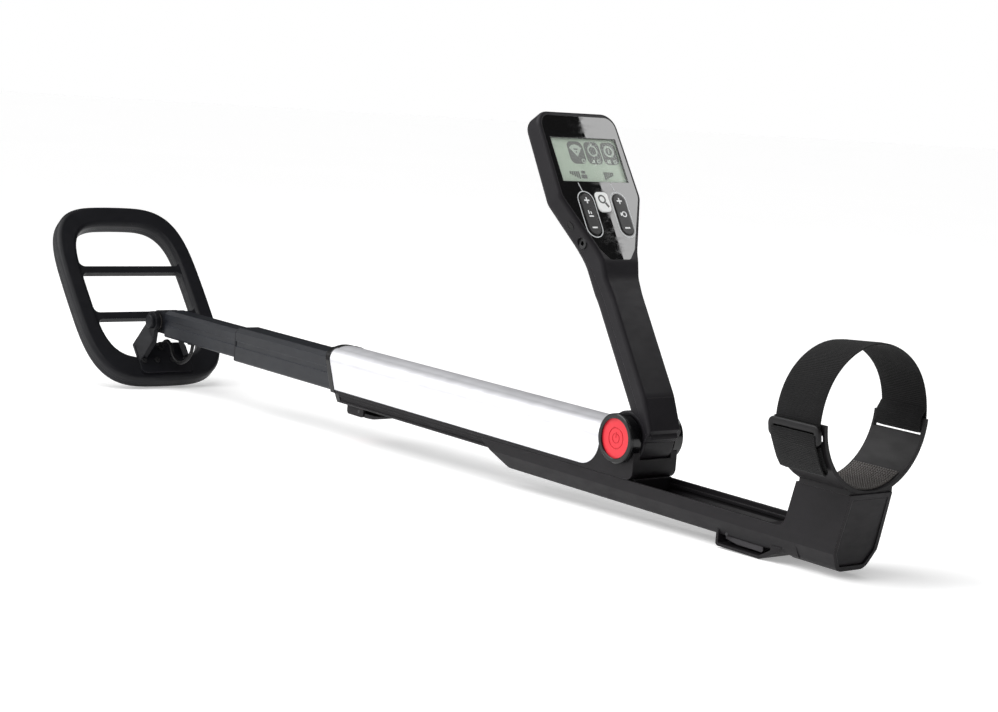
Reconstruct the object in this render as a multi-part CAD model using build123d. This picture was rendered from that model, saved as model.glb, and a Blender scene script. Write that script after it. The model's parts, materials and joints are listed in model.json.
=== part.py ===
from build123d import *
import math
import os

# Collapsible hand metal detector, millimetres.
# Everything is modelled about the handle hinge: -X runs forward to the search coil, +X back to the
# arm rest, -Y is the user's left and +Z is up, with the shaft level. The last step pitches the whole
# detector so that it lies on its coil and its rear guard, and moves the origin under its middle.

# ---- driving dimensions: shaft and body ----
SHAFT_Z = -14.0                  # height of the telescopic shaft's centre line
BODY_HALF = 22.0                 # half width of the silver sleeve and the body below it
SLEEVE_TOP = 9.6
SLEEVE_WALL = 1.6
SLEEVE_FOOT = -26.8              # lower edge of the sleeve
BODY_FLOOR = -29.6               # where the sides of the body end and the keel starts
KEEL_HALF, KEEL_BOTTOM = 18.4, -38.2
BODY_FRONT = -384.0              # front of the body at its floor
FRONT_SLANT = 22.0               # degrees the front collar leans forward at its top
BEZEL_LENGTH = 6.0
SLEEVE_REAR = -22.8
REAR_CORNER = 20.0
CHEEK_REAR = 17.0
SHELL_GAP = 0.3                  # free space between neighbours that move past each other
BODY_SCREWS = (-300.0, -210.0, -120.0, -40.0)

MID_WIDTH, MID_HEIGHT, MID_BEVEL = 29.6, 32.4, 4.2
MID_FRONT, MID_LENGTH = -560.0, 305.0
LOW_WIDTH, LOW_HEIGHT, LOW_BEVEL = 24.0, 27.0, 3.4
LOW_FRONT, LOW_LENGTH = -701.0, 284.0
TUBE_WALL = 1.8
GROOVE = 0.7                     # depth of the long grooves on both tubes' sides
FORK_HALF = 10.5                 # half width of the eye at the shaft's tip
CABLE_R = 1.8
CABLE_EXIT_X = -664.5            # where the coil cable goes into the lower shaft, from below

# ---- driving dimensions: coil ----
PIVOT_X = -718.0                 # coil pivot, on the shaft's centre line
COIL_TILT = 48.8                 # degrees between the coil and the shaft as it stands
COIL_LENGTH, COIL_WIDTH, COIL_THICK = 214.5, 155.3, 17.0
COIL_SQUARENESS, WINDOW_SQUARENESS = 3.64, 3.9
COIL_TOP = -28.5                 # pivot to the coil's top face
COIL_SPLIT = COIL_TOP - 9.0
COIL_SOLE = COIL_TOP - COIL_THICK
COIL_SOLE_ROUND = 3.5
COIL_AHEAD = 56.3                # pivot to the coil's centre
RIM_FRONT, RIM_SIDE, RIM_REAR = 23.3, 20.0, 27.6
CROSSBARS = (-84.3, -27.9)       # places of the two crossbars behind the pivot
BAR_WIDTH, BAR_THICK, BAR_DROP = 8.0, 6.6, 2.0
GROOVE_INSET, GROOVE_WIDE, GROOVE_HALF = 5.5, 10.0, 4.5     # hidden channel of the winding
LUG_INNER, LUG_OUTER = 12.7, 17.6
LUG_RADIUS = 10.5
FOOT_HALF, FOOT_FRONT, FOOT_REAR = 29.5, 9.3, 44.0
FOOT_THICK = 2.6
YOKE_SCREWS = ((30, -24), (30, 24), (30, -9), (30, 9))
GLAND_X, GLAND_TOP = 14.0, COIL_TOP + 7.0
BOLT_R = 3.0

# ---- driving dimensions: handle ----
HANDLE_LEAN = 32.2               # degrees the handle leans forward when it is open
GRIP_FRONT, GRIP_REAR = 11.7, 31.5
GRIP_HALF = 16.4
POD_FRONT, POD_FACE = 16.5, 35.5
POD_HALF = 41.6
POD_TOP = 257.5
HANDLE_WALL = 1.9
SHELL_SPLIT = 21.5
BARREL_R, BARREL_HALF = 20.3, 15.3
TRUNNION_R = 8.0
RING_R, RING_OUT, RING_SEAT, RING_SPIGOT = 18.8, 25.9, 17.0, 12.0
KNUCKLE_TOP = -3.0
SPIGOT = (16.0, 28.0, 10.0, 15.4)        # tongue of the knuckle: front, rear, half width, top
HANDLE_SCREWS = ((-30, 192), (30, 192), (-30, 244), (30, 244))
PANEL_LOW, PANEL_TOP = 130.0, 253.3
BUTTON_R, BUTTON_TRAVEL = 16.0, 2.5
LCD_LOW, LCD_HIGH, LCD_HALF = 196.5, 234.5, 33.0
KEY_UP, KEY_SIDE, KEY_LONG, KEY_WIDE = 168.5, 16.5, 35.0, 12.6
FIND_UP, FIND_TALL, FIND_WIDE = 179.0, 17.0, 13.0
DOOR_LOW, DOOR_HIGH, DOOR_HALF, DOOR_SLIDE = 40.0, 121.6, 12.0, 8.0
CELL_R, CELL_LENGTH, CELL_LOW, CELL_N = 7.1, 50.5, 17.2, 21.2
JACK_UP, JACK_DEPTH, JACK_R = 148.0, 27.0, 1.78

# ---- driving dimensions: sliding arm rest ----
CHANNEL_HALF = 21.6
CHANNEL_CREASE, CHANNEL_BOTTOM, CHANNEL_FLAT = -38.5, -50.0, 16.0
CHANNEL_WALL = 2.6
CHANNEL_FRONT, CHANNEL_TAPER = -165.0, 33.0
BLOCK_FRONT, BLOCK_REAR, BLOCK_TOP = 181.0, 231.5, 3.6
BLOCK_LEAN = 14.0                # degrees the block's ends lean forward at the bottom
CUFF_R, CUFF_WALL, CUFF_Z = 48.2, 3.0, 53.6
CUFF_FRONT, CUFF_REAR = 183.0, 229.0
CUFF_TIP = 14.0                  # degrees below level where the wings end
CUFF_SCREWS = ((194, 0), (218, 0))
STRAP_WIDTH, STRAP_THICK = 40.0, 1.9
STRAP_R, STRAP_Z = 51.3, 50.8    # inner radius and height of the strap's hoop
GUARD_FRONT, GUARD_REAR, GUARD_BOTTOM = 106.0, 158.0, -58.0
LATCH_FRONT, LATCH_REAR, LATCH_HALF = 111.0, 148.0, 13.4
LATCH_PIN = (115.0, -48.0)
ROOF_FRONT, SOLID_FRONT = 158.0, 175.0   # where the block's roof starts, and where the trough is filled

# ---- driving dimensions: shaft lock ----
LOCK_PIVOT = (-358.0, -43.4)
LOCK_BLOCK = (-376.0, -351.0)
LOCK_TAIL = -312.0
TOOTH_SLOT = (-4.0, 12.0, 5.4)   # from the lock's pivot: front, rear, half width
BRACKET_ROOF = 1.2


def block(x0, x1, y0, y1, z0, z1):
    return Pos((x0 + x1) / 2, (y0 + y1) / 2, (z0 + z1) / 2) * Box(x1 - x0, y1 - y0, z1 - z0)


def rod_y(radius, y0, y1, x=0.0, z=0.0):
    return Pos(x, (y0 + y1) / 2, z) * Rot(90, 0, 0) * Cylinder(radius, y1 - y0)


def rod_x(radius, x0, x1, y=0.0, z=0.0):
    return Pos((x0 + x1) / 2, y, z) * Rot(0, 90, 0) * Cylinder(radius, x1 - x0)


def rod_z(radius, z0, z1, x=0.0, y=0.0):
    return Pos(x, y, (z0 + z1) / 2) * Cylinder(radius, z1 - z0)


def outline(points, *rounds):
    """A polygon whose corners near the points in rounds are rounded: (x, y, radius)."""
    face = make_face(Polyline(*points, close=True))
    for x, y, radius in rounds:
        corner = face.vertices().sort_by_distance(Vector(x, y, 0))[0]
        face = fillet(corner, radius)
    return face


def prism_y(face, y0, y1):
    """Extrude an (x, z) face from y0 to y1."""
    return extrude(Plane(origin=(0, y1, 0), x_dir=(1, 0, 0), z_dir=(0, -1, 0)) * face, y1 - y0)


def prism_x(face, x0, x1):
    """Extrude a (y, z) face from x0 to x1."""
    return extrude(Plane(origin=(x0, 0, 0), x_dir=(0, 1, 0), z_dir=(1, 0, 0)) * face, x1 - x0)


# ---------------------------------------------------------------- telescopic shaft

def tube_face(width, height, bevel, groove=0.0):
    """Shaft section about the centre line: bevelled on top, rounded below, grooved on its sides."""
    face = Rectangle(width, height)
    face = chamfer(face.vertices().group_by(Axis.Y)[-1], bevel)
    face = fillet(face.vertices().group_by(Axis.Y)[0], 2.0)
    for side in (-1, 1) if groove else ():
        face -= Pos(side * width / 2, 1.0) * Rectangle(2 * groove, 5.0)
    return Pos(0, SHAFT_Z) * face


def tube(width, height, bevel, front, length, wall):
    outer = prism_x(tube_face(width, height, bevel, GROOVE), front, front + length)
    bore = tube_face(width - 2 * wall, height - 2 * wall, bevel - 0.6 * wall)
    return outer - prism_x(bore, front - 1, front + length + 1)


def mid_shaft():
    shaft = tube(MID_WIDTH, MID_HEIGHT, MID_BEVEL, MID_FRONT, MID_LENGTH, TUBE_WALL + 0.6)
    lock_holes = [rod_z(3.2, SHAFT_Z - MID_HEIGHT / 2 - 1, SHAFT_Z - MID_HEIGHT / 2 + 5, x)
                  for x in (-538.0, -470.0, -402.0)]
    return shaft - lock_holes


def lower_shaft():
    grommet_hole = rod_z(4.0, SHAFT_Z - LOW_HEIGHT / 2 - 1, SHAFT_Z - LOW_HEIGHT / 2 + 4, CABLE_EXIT_X)
    return tube(LOW_WIDTH, LOW_HEIGHT, LOW_BEVEL, LOW_FRONT, LOW_LENGTH, TUBE_WALL) - grommet_hole


def guide_bush(width, height, bevel, rear):
    """Slippery sleeve in the hidden rear end of a tube."""
    plug = prism_x(tube_face(width, height, bevel), rear - 16, rear)
    return plug - prism_x(tube_face(width - 6, height - 6, bevel - 1), rear - 17, rear + 1)


def mid_shaft_bush():
    inner = TUBE_WALL + 0.7
    return guide_bush(MID_WIDTH - 2 * inner, MID_HEIGHT - 2 * inner, MID_BEVEL - 0.6 * inner,
                      MID_FRONT + MID_LENGTH)


def lower_shaft_bush():
    inner = TUBE_WALL + 0.1
    return guide_bush(LOW_WIDTH - 2 * inner, LOW_HEIGHT - 2 * inner, LOW_BEVEL - 0.6 * inner,
                      LOW_FRONT + LOW_LENGTH)


def mid_shaft_collar():
    """Plastic lip pressed on the mid shaft's front end, round the lower shaft."""
    gap = 2 * SHELL_GAP
    lip = prism_x(tube_face(MID_WIDTH, MID_HEIGHT, MID_BEVEL), MID_FRONT - 3.0, MID_FRONT)
    lip = chamfer(lip.faces().sort_by(Axis.X)[0].edges(), 0.8)
    opening = tube_face(LOW_WIDTH + gap, LOW_HEIGHT + gap, LOW_BEVEL + 0.2)
    return lip - prism_x(opening, MID_FRONT - 4, MID_FRONT + 1)


def shaft_fork():
    """Moulded tip of the lower shaft: a plug in the tube and the eye of the coil pivot."""
    inset = TUBE_WALL + 0.1
    plug = prism_x(tube_face(LOW_WIDTH - 2 * inset, LOW_HEIGHT - 2 * inset, LOW_BEVEL - 0.6 * inset),
                   LOW_FRONT - 1, LOW_FRONT + 22)
    neck = block(PIVOT_X, LOW_FRONT - 0.02, -FORK_HALF, FORK_HALF, SHAFT_Z - 10.8, SHAFT_Z + 11.2)
    eye = rod_y(11.4, -FORK_HALF, FORK_HALF, PIVOT_X, SHAFT_Z)
    tip = plug + neck + eye
    tip -= rod_y(BOLT_R + 0.05, -20, 20, PIVOT_X, SHAFT_Z)
    return tip - rod_x(2.6, LOW_FRONT - 2, LOW_FRONT + 30, 0, SHAFT_Z - 5)


def cable_grommet():
    z = SHAFT_Z - LOW_HEIGHT / 2
    ring = rod_z(3.9, z - 0.9, z + 2.6, CABLE_EXIT_X) + rod_z(5.4, z - 2.4, z - 0.02, CABLE_EXIT_X)
    return ring - rod_z(CABLE_R + 0.2, z - 3, z + 3, CABLE_EXIT_X)


# ---------------------------------------------------------------- search coil, about its pivot

def loop(length, width, squareness, centre=-COIL_AHEAD):
    """Rounded coil outline: a superellipse."""
    half_l, half_w = length / 2, width / 2
    points = []
    for step in range(48):
        angle = 2 * math.pi * (step + 0.5) / 48
        c, s = math.cos(angle), math.sin(angle)
        points.append((math.copysign(abs(c) ** (2 / squareness), c) * half_l,
                       math.copysign(abs(s) ** (2 / squareness), s) * half_w))
    return Pos(centre, 0) * make_face(Spline(*points, periodic=True))


def opening_loop(grow=0.0):
    """Inner edge of the rim, which is widest at the rear."""
    return loop(COIL_LENGTH - RIM_FRONT - RIM_REAR + 2 * grow, COIL_WIDTH - 2 * RIM_SIDE + 2 * grow,
                WINDOW_SQUARENESS, (RIM_FRONT - RIM_REAR) / 2 - COIL_AHEAD)


def slab(face, z0, z1):
    return extrude(Pos(0, 0, z0) * face, z1 - z0)


def window(front, rear):
    """Opening between two crossbars, with rounded corners."""
    face = opening_loop(0.6) & Pos((front + rear) / 2, 0) * Rectangle(rear - front, 2 * COIL_WIDTH)
    corners = [v for v in face.vertices() if min(abs(v.X - front), abs(v.X - rear)) < 0.01]
    return fillet(corners, 6.0)


def crossbars():
    """Plate with three windows whose rim is buried in the coil's, so that only the bars show."""
    plate = opening_loop(2.0)
    half = BAR_WIDTH / 2
    edges = [-COIL_LENGTH] + [x + side for x in CROSSBARS for side in (-half, half)] + [COIL_LENGTH]
    for front, rear in zip(edges[::2], edges[1::2]):
        plate -= window(front, rear)
    return slab(plate, COIL_TOP - BAR_DROP - BAR_THICK, COIL_TOP - BAR_DROP)


def coil_body():
    """The whole coil moulding before it is split: rim and crossbars."""
    rim = loop(COIL_LENGTH, COIL_WIDTH, COIL_SQUARENESS) - opening_loop()
    body = slab(rim, COIL_SOLE, COIL_TOP)
    body = fillet(body.faces().sort_by(Axis.Z)[-1].edges(), 4.5)
    body = fillet(body.faces().sort_by(Axis.Z)[0].edges(), COIL_SOLE_ROUND)
    return body + crossbars()


def winding_groove(grow=0.0):
    """Ring that the winding fills; grow widens it all round."""
    outer, inner = 2 * (GROOVE_INSET - grow), 2 * (GROOVE_INSET + GROOVE_WIDE + grow)
    band = loop(COIL_LENGTH - outer, COIL_WIDTH - outer, COIL_SQUARENESS) \
        - loop(COIL_LENGTH - inner, COIL_WIDTH - inner, COIL_SQUARENESS)
    return slab(band, COIL_SPLIT - GROOVE_HALF - grow, COIL_SPLIT + GROOVE_HALF + grow)


def coil_top_shell():
    keep = block(-300, 300, -200, 200, COIL_SPLIT, 0)
    shell = (coil_body() & keep) - winding_groove(0.4)
    return shell - [rod_z(1.55, COIL_TOP - 6.2, COIL_TOP + 1, x, y) for x, y in YOKE_SCREWS]


def coil_skid():
    """Wear plate that closes the coil from below."""
    keep = block(-300, 300, -200, 200, -100, COIL_SPLIT)
    return (coil_body() & keep) - winding_groove(0.4)


def coil_winding():
    return winding_groove()


def lug(side):
    """One ear of the yoke; it splays out and widens rearward towards its foot."""
    bottom = COIL_TOP + 0.02
    ear = make_face(Polyline((-LUG_RADIUS, -1), (LUG_RADIUS, -1), (FOOT_REAR - 12, bottom),
                             (FOOT_FRONT, bottom), close=True))
    ear = prism_y(ear + Circle(LUG_RADIUS), -FOOT_HALF - 5, FOOT_HALF + 5)
    wall = LUG_OUTER - LUG_INNER
    splay = outline([(LUG_INNER, 12), (LUG_OUTER, 12), (LUG_OUTER, -9), (FOOT_HALF, bottom),
                     (FOOT_HALF - wall, bottom), (LUG_INNER, -11)])
    ear = ear & prism_x(splay, -20, FOOT_REAR)
    return ear if side > 0 else mirror(ear, Plane.XZ)


def coil_yoke():
    """Yoke on the rear rim: foot, two ears, and a boss below the foot that takes the cable in."""
    foot = block(FOOT_FRONT, FOOT_REAR, -FOOT_HALF, FOOT_HALF, COIL_TOP + 0.02, COIL_TOP + FOOT_THICK)
    foot = fillet(foot.edges().filter_by(Axis.Z), 5)
    boss = block(FOOT_FRONT + 0.4, 22.9, -6, 6, COIL_TOP - 5, COIL_TOP + 1)
    yoke = foot + boss + lug(1) + lug(-1)
    yoke -= rod_y(BOLT_R + 0.05, -40, 40)
    yoke -= [rod_z(1.7, COIL_TOP - 3, COIL_TOP + 4, x, y) for x, y in YOKE_SCREWS]
    yoke -= [rod_z(3.1, COIL_TOP + FOOT_THICK, COIL_TOP + FOOT_THICK + 6, x, y) for x, y in YOKE_SCREWS]
    return yoke - rod_z(3.3, COIL_TOP - 3, COIL_TOP + 4, GLAND_X)


def yoke_screws():
    screws = []
    head_low = COIL_TOP + FOOT_THICK + 0.02
    for x, y in YOKE_SCREWS:
        head = rod_z(2.9, head_low, head_low + 1.4, x, y) - rod_z(1.2, head_low + 0.6, head_low + 2, x, y)
        screws.append(head + rod_z(1.5, COIL_TOP - 6.0, head_low + 0.1, x, y))
    return Compound(children=screws)


def pivot_bolt():
    head = rod_y(7.0, -LUG_OUTER - 3.4, -LUG_OUTER - 0.1)
    head = fillet(head.edges().sort_by(Axis.Y)[0], 1.2)
    return head + rod_y(BOLT_R, -LUG_OUTER - 0.2, LUG_OUTER + 6.0)


def pivot_nut():
    knob = rod_y(8.2, LUG_OUTER + 0.1, LUG_OUTER + 7.5)
    knob -= [Pos(10.2 * math.cos(a), 0, 10.2 * math.sin(a)) * rod_y(3.2, 0, 40)
             for a in (math.radians(60 * k) for k in range(6))]
    return knob - rod_y(BOLT_R + 0.02, LUG_OUTER - 1, LUG_OUTER + 6.2)


def pivot_washers():
    washers = [rod_y(8.6, side * (FORK_HALF + 0.1) if side > 0 else -LUG_INNER + 0.1,
                     LUG_INNER - 0.1 if side > 0 else -FORK_HALF - 0.1) - rod_y(BOLT_R + 0.3, -20, 20)
               for side in (-1, 1)]
    return Compound(children=washers)


def cable_gland():
    body = rod_z(3.2, COIL_TOP - 2.9, GLAND_TOP, GLAND_X)
    body += rod_z(4.6, COIL_TOP + FOOT_THICK + 0.05, COIL_TOP + FOOT_THICK + 2.0, GLAND_X)
    return body - rod_z(CABLE_R + 0.2, COIL_TOP - 4, GLAND_TOP + 1, GLAND_X)


def at_coil(part):
    return Pos(PIVOT_X, 0, SHAFT_Z) * Rot(0, COIL_TILT, 0) * part


def coil_point(x, z):
    """A point of the coil's own frame in the shaft frame, as (x, z)."""
    a = math.radians(COIL_TILT)
    return (PIVOT_X + x * math.cos(a) + z * math.sin(a), SHAFT_Z - x * math.sin(a) + z * math.cos(a))


# The coil cable: out of the gland, over and down in one loop, up into the lower shaft.
CABLE_ROUTE = [
    coil_point(GLAND_X, GLAND_TOP),
    coil_point(GLAND_X, GLAND_TOP + 9.0),
    (-708.0, -35.5),
    (-702.5, -48.5),
    (-688.0, -53.5),
    (-671.5, -46.0),
    (CABLE_EXIT_X - 0.7, -36.0),
    (CABLE_EXIT_X, SHAFT_Z - LOW_HEIGHT / 2 - 2.4),
]


def cable_radii(route):
    """The largest arc each corner of the route allows: 0.45 of its shorter run."""
    radii = []
    for before, here, after in zip(route, route[1:], route[2:]):
        first = Vector(*here) - Vector(*before)
        second = Vector(*after) - Vector(*here)
        turn = math.radians(first.get_angle(second))
        radii.append(0.45 * min(first.length, second.length) / math.tan(turn / 2))
    return radii


def coil_cable():
    radii = cable_radii(CABLE_ROUTE)
    print("cable radii", [round(r, 1) for r in radii])
    path = FilletPolyline(*[(x, 0, z) for x, z in CABLE_ROUTE], radius=radii)
    start = path ^ 0
    cable = sweep(Plane(start.position, z_dir=path % 0) * Circle(CABLE_R), path=path)
    print("cable length", round(path.length, 1), "volume over section",
          round(cable.volume / (math.pi * CABLE_R ** 2), 1))
    return cable


# ---------------------------------------------------------------- body

def crown_face(half, foot, top, corner):
    """Sleeve section: straight sides from the foot, rounded shoulders and a lightly crowned top."""
    crown = 1.6
    edge, shoulder = top - crown, top - corner - crown
    bulge_y, bulge_z = half - 0.30 * corner, edge - 0.28 * corner
    return make_face([
        Line((half, foot), (half, shoulder)),
        ThreePointArc((half, shoulder), (bulge_y, bulge_z), (half - corner, edge)),
        ThreePointArc((half - corner, edge), (0, top), (corner - half, edge)),
        ThreePointArc((corner - half, edge), (-bulge_y, bulge_z), (-half, shoulder)),
        Line((-half, shoulder), (-half, foot)),
        Line((-half, foot), (half, foot)),
    ])


def front_cutter(setback):
    """Everything in front of the slanted front end, set back from the collar's face."""
    cutter = block(-200, 0, -60, 60, -120, 120)
    return Pos(BODY_FRONT + setback, 0, BODY_FLOOR) * Rot(0, -FRONT_SLANT, 0) * cutter


def sleeve_side():
    """Side outline of the sleeve: rear end just clear of the hinge ring, lower rear corner rounded."""
    return outline([(-460, SLEEVE_FOOT), (SLEEVE_REAR, SLEEVE_FOOT), (SLEEVE_REAR, 30), (-460, 30)],
                   (SLEEVE_REAR, SLEEVE_FOOT, REAR_CORNER))


def upper_sleeve():
    skin = crown_face(BODY_HALF, SLEEVE_FOOT, SLEEVE_TOP, 12.0)
    inner = crown_face(BODY_HALF - SLEEVE_WALL, SLEEVE_FOOT - 1, SLEEVE_TOP - SLEEVE_WALL, 11.0)
    sleeve = prism_x(skin, -430, SLEEVE_REAR + 5) - prism_x(inner, -431, SLEEVE_REAR + 6)
    sleeve = sleeve & prism_y(sleeve_side(), -40, 40)
    return sleeve - front_cutter(BEZEL_LENGTH)


def keel_face():
    face = outline([(-KEEL_HALF, BODY_FLOOR + 1), (KEEL_HALF, BODY_FLOOR + 1), (KEEL_HALF, KEEL_BOTTOM),
                    (-KEEL_HALF, KEEL_BOTTOM)], (KEEL_HALF, KEEL_BOTTOM, 1.5), (-KEEL_HALF, KEEL_BOTTOM, 1.5))
    for side in (-1, 1):
        face -= Pos(side * KEEL_HALF, -34.5) * Rectangle(2.4, 3.2)
    return face


def body_frame():
    """Inner moulding: fills the sleeve, carries the keel the arm rest slides on, and the hinge cheeks."""
    inset = SLEEVE_WALL + 0.15
    core = crown_face(BODY_HALF - inset, SLEEVE_FOOT - 0.1, SLEEVE_TOP - inset, 10.9)
    core = prism_x(core, -430, SLEEVE_REAR - 0.2)
    sill = block(-430, SLEEVE_REAR, -BODY_HALF, BODY_HALF, BODY_FLOOR, SLEEVE_FOOT - 0.1)
    keel = prism_x(keel_face(), -430, CHEEK_REAR)
    frame = core + sill + keel
    corner = outline([(-75, BODY_FLOOR), (CHEEK_REAR, BODY_FLOOR), (CHEEK_REAR, 2), (SLEEVE_REAR + 0.2, 2),
                      (SLEEVE_REAR + 0.2, SLEEVE_FOOT), (-75, SLEEVE_FOOT)],
                     (CHEEK_REAR, BODY_FLOOR, 7.0), (SLEEVE_REAR + 0.2, SLEEVE_FOOT, REAR_CORNER))
    cheeks = prism_y(corner, -BODY_HALF, BODY_HALF)
    barrel_room = rod_y(BARREL_R + 0.5, -BARREL_HALF - 0.4, BARREL_HALF + 0.4)
    barrel_room += block(0, 60, -BARREL_HALF - 0.4, BARREL_HALF + 0.4, -14, 60)
    frame += cheeks
    frame -= barrel_room
    frame -= rod_y(RING_R + 0.1, -60, -RING_SEAT) + rod_y(RING_R + 0.1, RING_SEAT, 60)
    frame -= rod_y(RING_SPIGOT + 0.1, -60, 60)
    cavity = tube_face(MID_WIDTH + 2 * SHELL_GAP, MID_HEIGHT + 2 * SHELL_GAP, MID_BEVEL)
    frame -= prism_x(cavity, -440, SLEEVE_REAR - 4)
    frame -= tooth_slot(SHAFT_Z) + front_cutter(BEZEL_LENGTH)
    for x in BODY_SCREWS:
        frame -= rod_z(2.8, KEEL_BOTTOM - 1, KEEL_BOTTOM + 1.85, x)
        frame -= rod_z(1.45, KEEL_BOTTOM, KEEL_BOTTOM + 6.6, x)
    return frame


def tooth_slot(top):
    """Room for the lock's tooth through the bracket and the keel."""
    ahead, behind, half = TOOTH_SLOT
    return block(LOCK_PIVOT[0] + ahead, LOCK_PIVOT[0] + behind, -half, half, KEEL_BOTTOM - 3, top)


def front_bezel():
    """Black collar at the mouth of the body."""
    skin = crown_face(BODY_HALF + 0.5, BODY_FLOOR, SLEEVE_TOP + 0.5, 12.0)
    collar = prism_x(skin, -430, -350)
    keel = outline([(-KEEL_HALF - 0.4, BODY_FLOOR + 1), (KEEL_HALF + 0.4, BODY_FLOOR + 1),
                    (KEEL_HALF - 1.2, KEEL_BOTTOM), (1.2 - KEEL_HALF, KEEL_BOTTOM)])
    collar += prism_x(keel, -430, -350)
    opening = tube_face(MID_WIDTH + 2 * SHELL_GAP, MID_HEIGHT + 2 * SHELL_GAP, MID_BEVEL)
    collar -= prism_x(opening, -440, -340)
    behind = Pos(BODY_FRONT + BEZEL_LENGTH - 0.1, 0, BODY_FLOOR) * Rot(0, -FRONT_SLANT, 0) \
        * block(0, 200, -60, 60, -120, 120)
    return collar - front_cutter(0) - behind


def hinge_ring(side):
    """Glossy boss beside the handle with the trunnion that the handle turns on."""
    ring = rod_y(RING_R, RING_SEAT + 0.1, RING_OUT)
    ring = fillet(ring.edges().sort_by(Axis.Y)[-1], 1.0)
    ring += rod_y(RING_SPIGOT, BARREL_HALF + 0.3, RING_SEAT + 0.2)
    ring += rod_y(TRUNNION_R, 8.5, BARREL_HALF + 0.4)
    return ring if side > 0 else mirror(ring, Plane.XZ)


def left_hinge_ring():
    ring = hinge_ring(-1) - rod_y(BUTTON_R + 0.15, -RING_OUT - 1, -19.4)
    return ring - rod_y(5.3, -30, 0)


def right_hinge_ring():
    ring = hinge_ring(1)
    groove = rod_y(BUTTON_R, RING_OUT - 0.8, RING_OUT + 1) - rod_y(BUTTON_R - 0.9, RING_OUT - 2, RING_OUT + 2)
    return ring - groove


def release_button():
    """Red push button in the left ring, with an engraved ring and bar as its mark."""
    cap = rod_y(BUTTON_R, -RING_OUT + 0.2, -22.6)
    cap = fillet(cap.edges().sort_by(Axis.Y)[0], 0.6)
    mark = rod_y(8.2, -RING_OUT, -RING_OUT + 0.8) - rod_y(7.5, -RING_OUT - 1, -RING_OUT + 2)
    bar = block(-0.4, 0.4, -RING_OUT, -RING_OUT + 0.8, 0.5, 4.6)
    small = rod_y(4.0, -RING_OUT, -RING_OUT + 0.8) - rod_y(3.4, -RING_OUT - 1, -RING_OUT + 2)
    small -= block(-1.3, 1.3, -RING_OUT - 1, -RING_OUT + 2, 0, 6)
    return cap - mark - bar - small + rod_y(5.2, -22.7, -9.0)


def button_spring():
    return rod_y(9.0, -22.5, -19.5) - rod_y(7.4, -30, 0)


def lock_bracket():
    """Housing of the shaft lock under the keel, open at its rear and in the middle for the lever."""
    front, rear = LOCK_BLOCK
    housing = block(front, rear, -9, 9, -48.0, KEEL_BOTTOM - 0.05)
    housing = fillet(housing.edges().filter_by(Axis.Y).group_by(Axis.Z)[0], 3.0)
    housing -= block(front - 1, rear + 1, -6, 6, -60, KEEL_BOTTOM - BRACKET_ROOF)
    return housing - tooth_slot(KEEL_BOTTOM + 1) - rod_y(1.5, -20, 20, *LOCK_PIVOT)


def lock_lever():
    """Rocker: the red nose at the front is pushed up, the paddle behind drops and frees the shaft."""
    px, pz = LOCK_PIVOT
    side = outline([(px - 10.98, -47.6), (px + 6, -47.6), (px + 22, -46.9), (LOCK_TAIL, -41.6),
                    (LOCK_TAIL + 1, -40.4), (px + 26, -43.4), (px + 8, -43.8), (px + 3, -40.8), (px - 4, -41.2),
                    (px - 10.98, -42.9)], (px + 22, -46.9, 40.0), (LOCK_TAIL + 1, -40.4, 0.5))
    bar = prism_y(side, -5.6, 5.6)
    paddle = prism_y(side, -8.6, 8.6) & block(px + 9, LOCK_TAIL + 2, -9, 9, -60, -30)
    tooth = block(px + 2, px + 6, -4, 4, -42.5, -33.2)
    return bar + paddle + tooth - rod_y(1.55, -20, 20, px, pz)


def lock_nose():
    """Red tip of the rocker, the place to press."""
    px = LOCK_PIVOT[0]
    return prism_y(outline([(px - 18.8, -48.3), (px - 11.0, -47.9), (px - 11.0, -43.0), (px - 18.8, -44.2)],
                           (px - 18.8, -48.3, 1.2), (px - 18.8, -44.2, 1.2)), -5.6, 5.6)


def lock_pin():
    return rod_y(1.5, -9, 9, *LOCK_PIVOT)


def lock_spring():
    x, top = LOCK_PIVOT[0] - 8.5, KEEL_BOTTOM - BRACKET_ROOF - 0.02
    return rod_z(2.2, -41.6, top, x) - rod_z(1.5, -50, -30, x)


def body_screws():
    """Self-tapping screws that hold the sleeve's inner moulding from below the keel."""
    screws = []
    for x in BODY_SCREWS:
        head = rod_z(2.6, KEEL_BOTTOM + 0.3, KEEL_BOTTOM + 1.8, x)
        head -= rod_z(1.1, KEEL_BOTTOM, KEEL_BOTTOM + 1.1, x)
        screws.append(head + rod_z(1.4, KEEL_BOTTOM + 1.7, KEEL_BOTTOM + 6.4, x))
    return Compound(children=screws)


# ---------------------------------------------------------------- handle, x = rearward normal, z = up the grip

def handle_front_view(inset):
    half, top = POD_HALF - inset, POD_TOP - inset
    grip = GRIP_HALF - inset
    right = [(grip, -40), (grip, 104), (grip + 3.2, 134), (half, 184), (half - 1.6, top)]
    left = [(-y, z) for y, z in reversed(right)]
    rounds = [(side * y, z, radius) for side in (-1, 1)
              for (y, z), radius in zip(right[1:], (60, 40, 14, 13))]
    return outline(right + left, *rounds)


def handle_side_view(inset):
    front, rear = GRIP_FRONT + inset, GRIP_REAR - inset
    pod_front, face, top = POD_FRONT + inset, POD_FACE - inset, POD_TOP - inset
    return outline([(front, -2), (front, 112), (pod_front, 150), (pod_front + 1, top - 9), (pod_front + 7, top),
                    (face, top), (face, PANEL_LOW), (rear, PANEL_LOW - 13), (rear, 20),
                    (GRIP_REAR - 4.6 - inset, -6), (16, -12)],
                   (front, 112, 60), (pod_front, 150, 60), (rear, 20, 30), (face, PANEL_LOW, 12),
                   (rear, PANEL_LOW - 13, 20))


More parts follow.
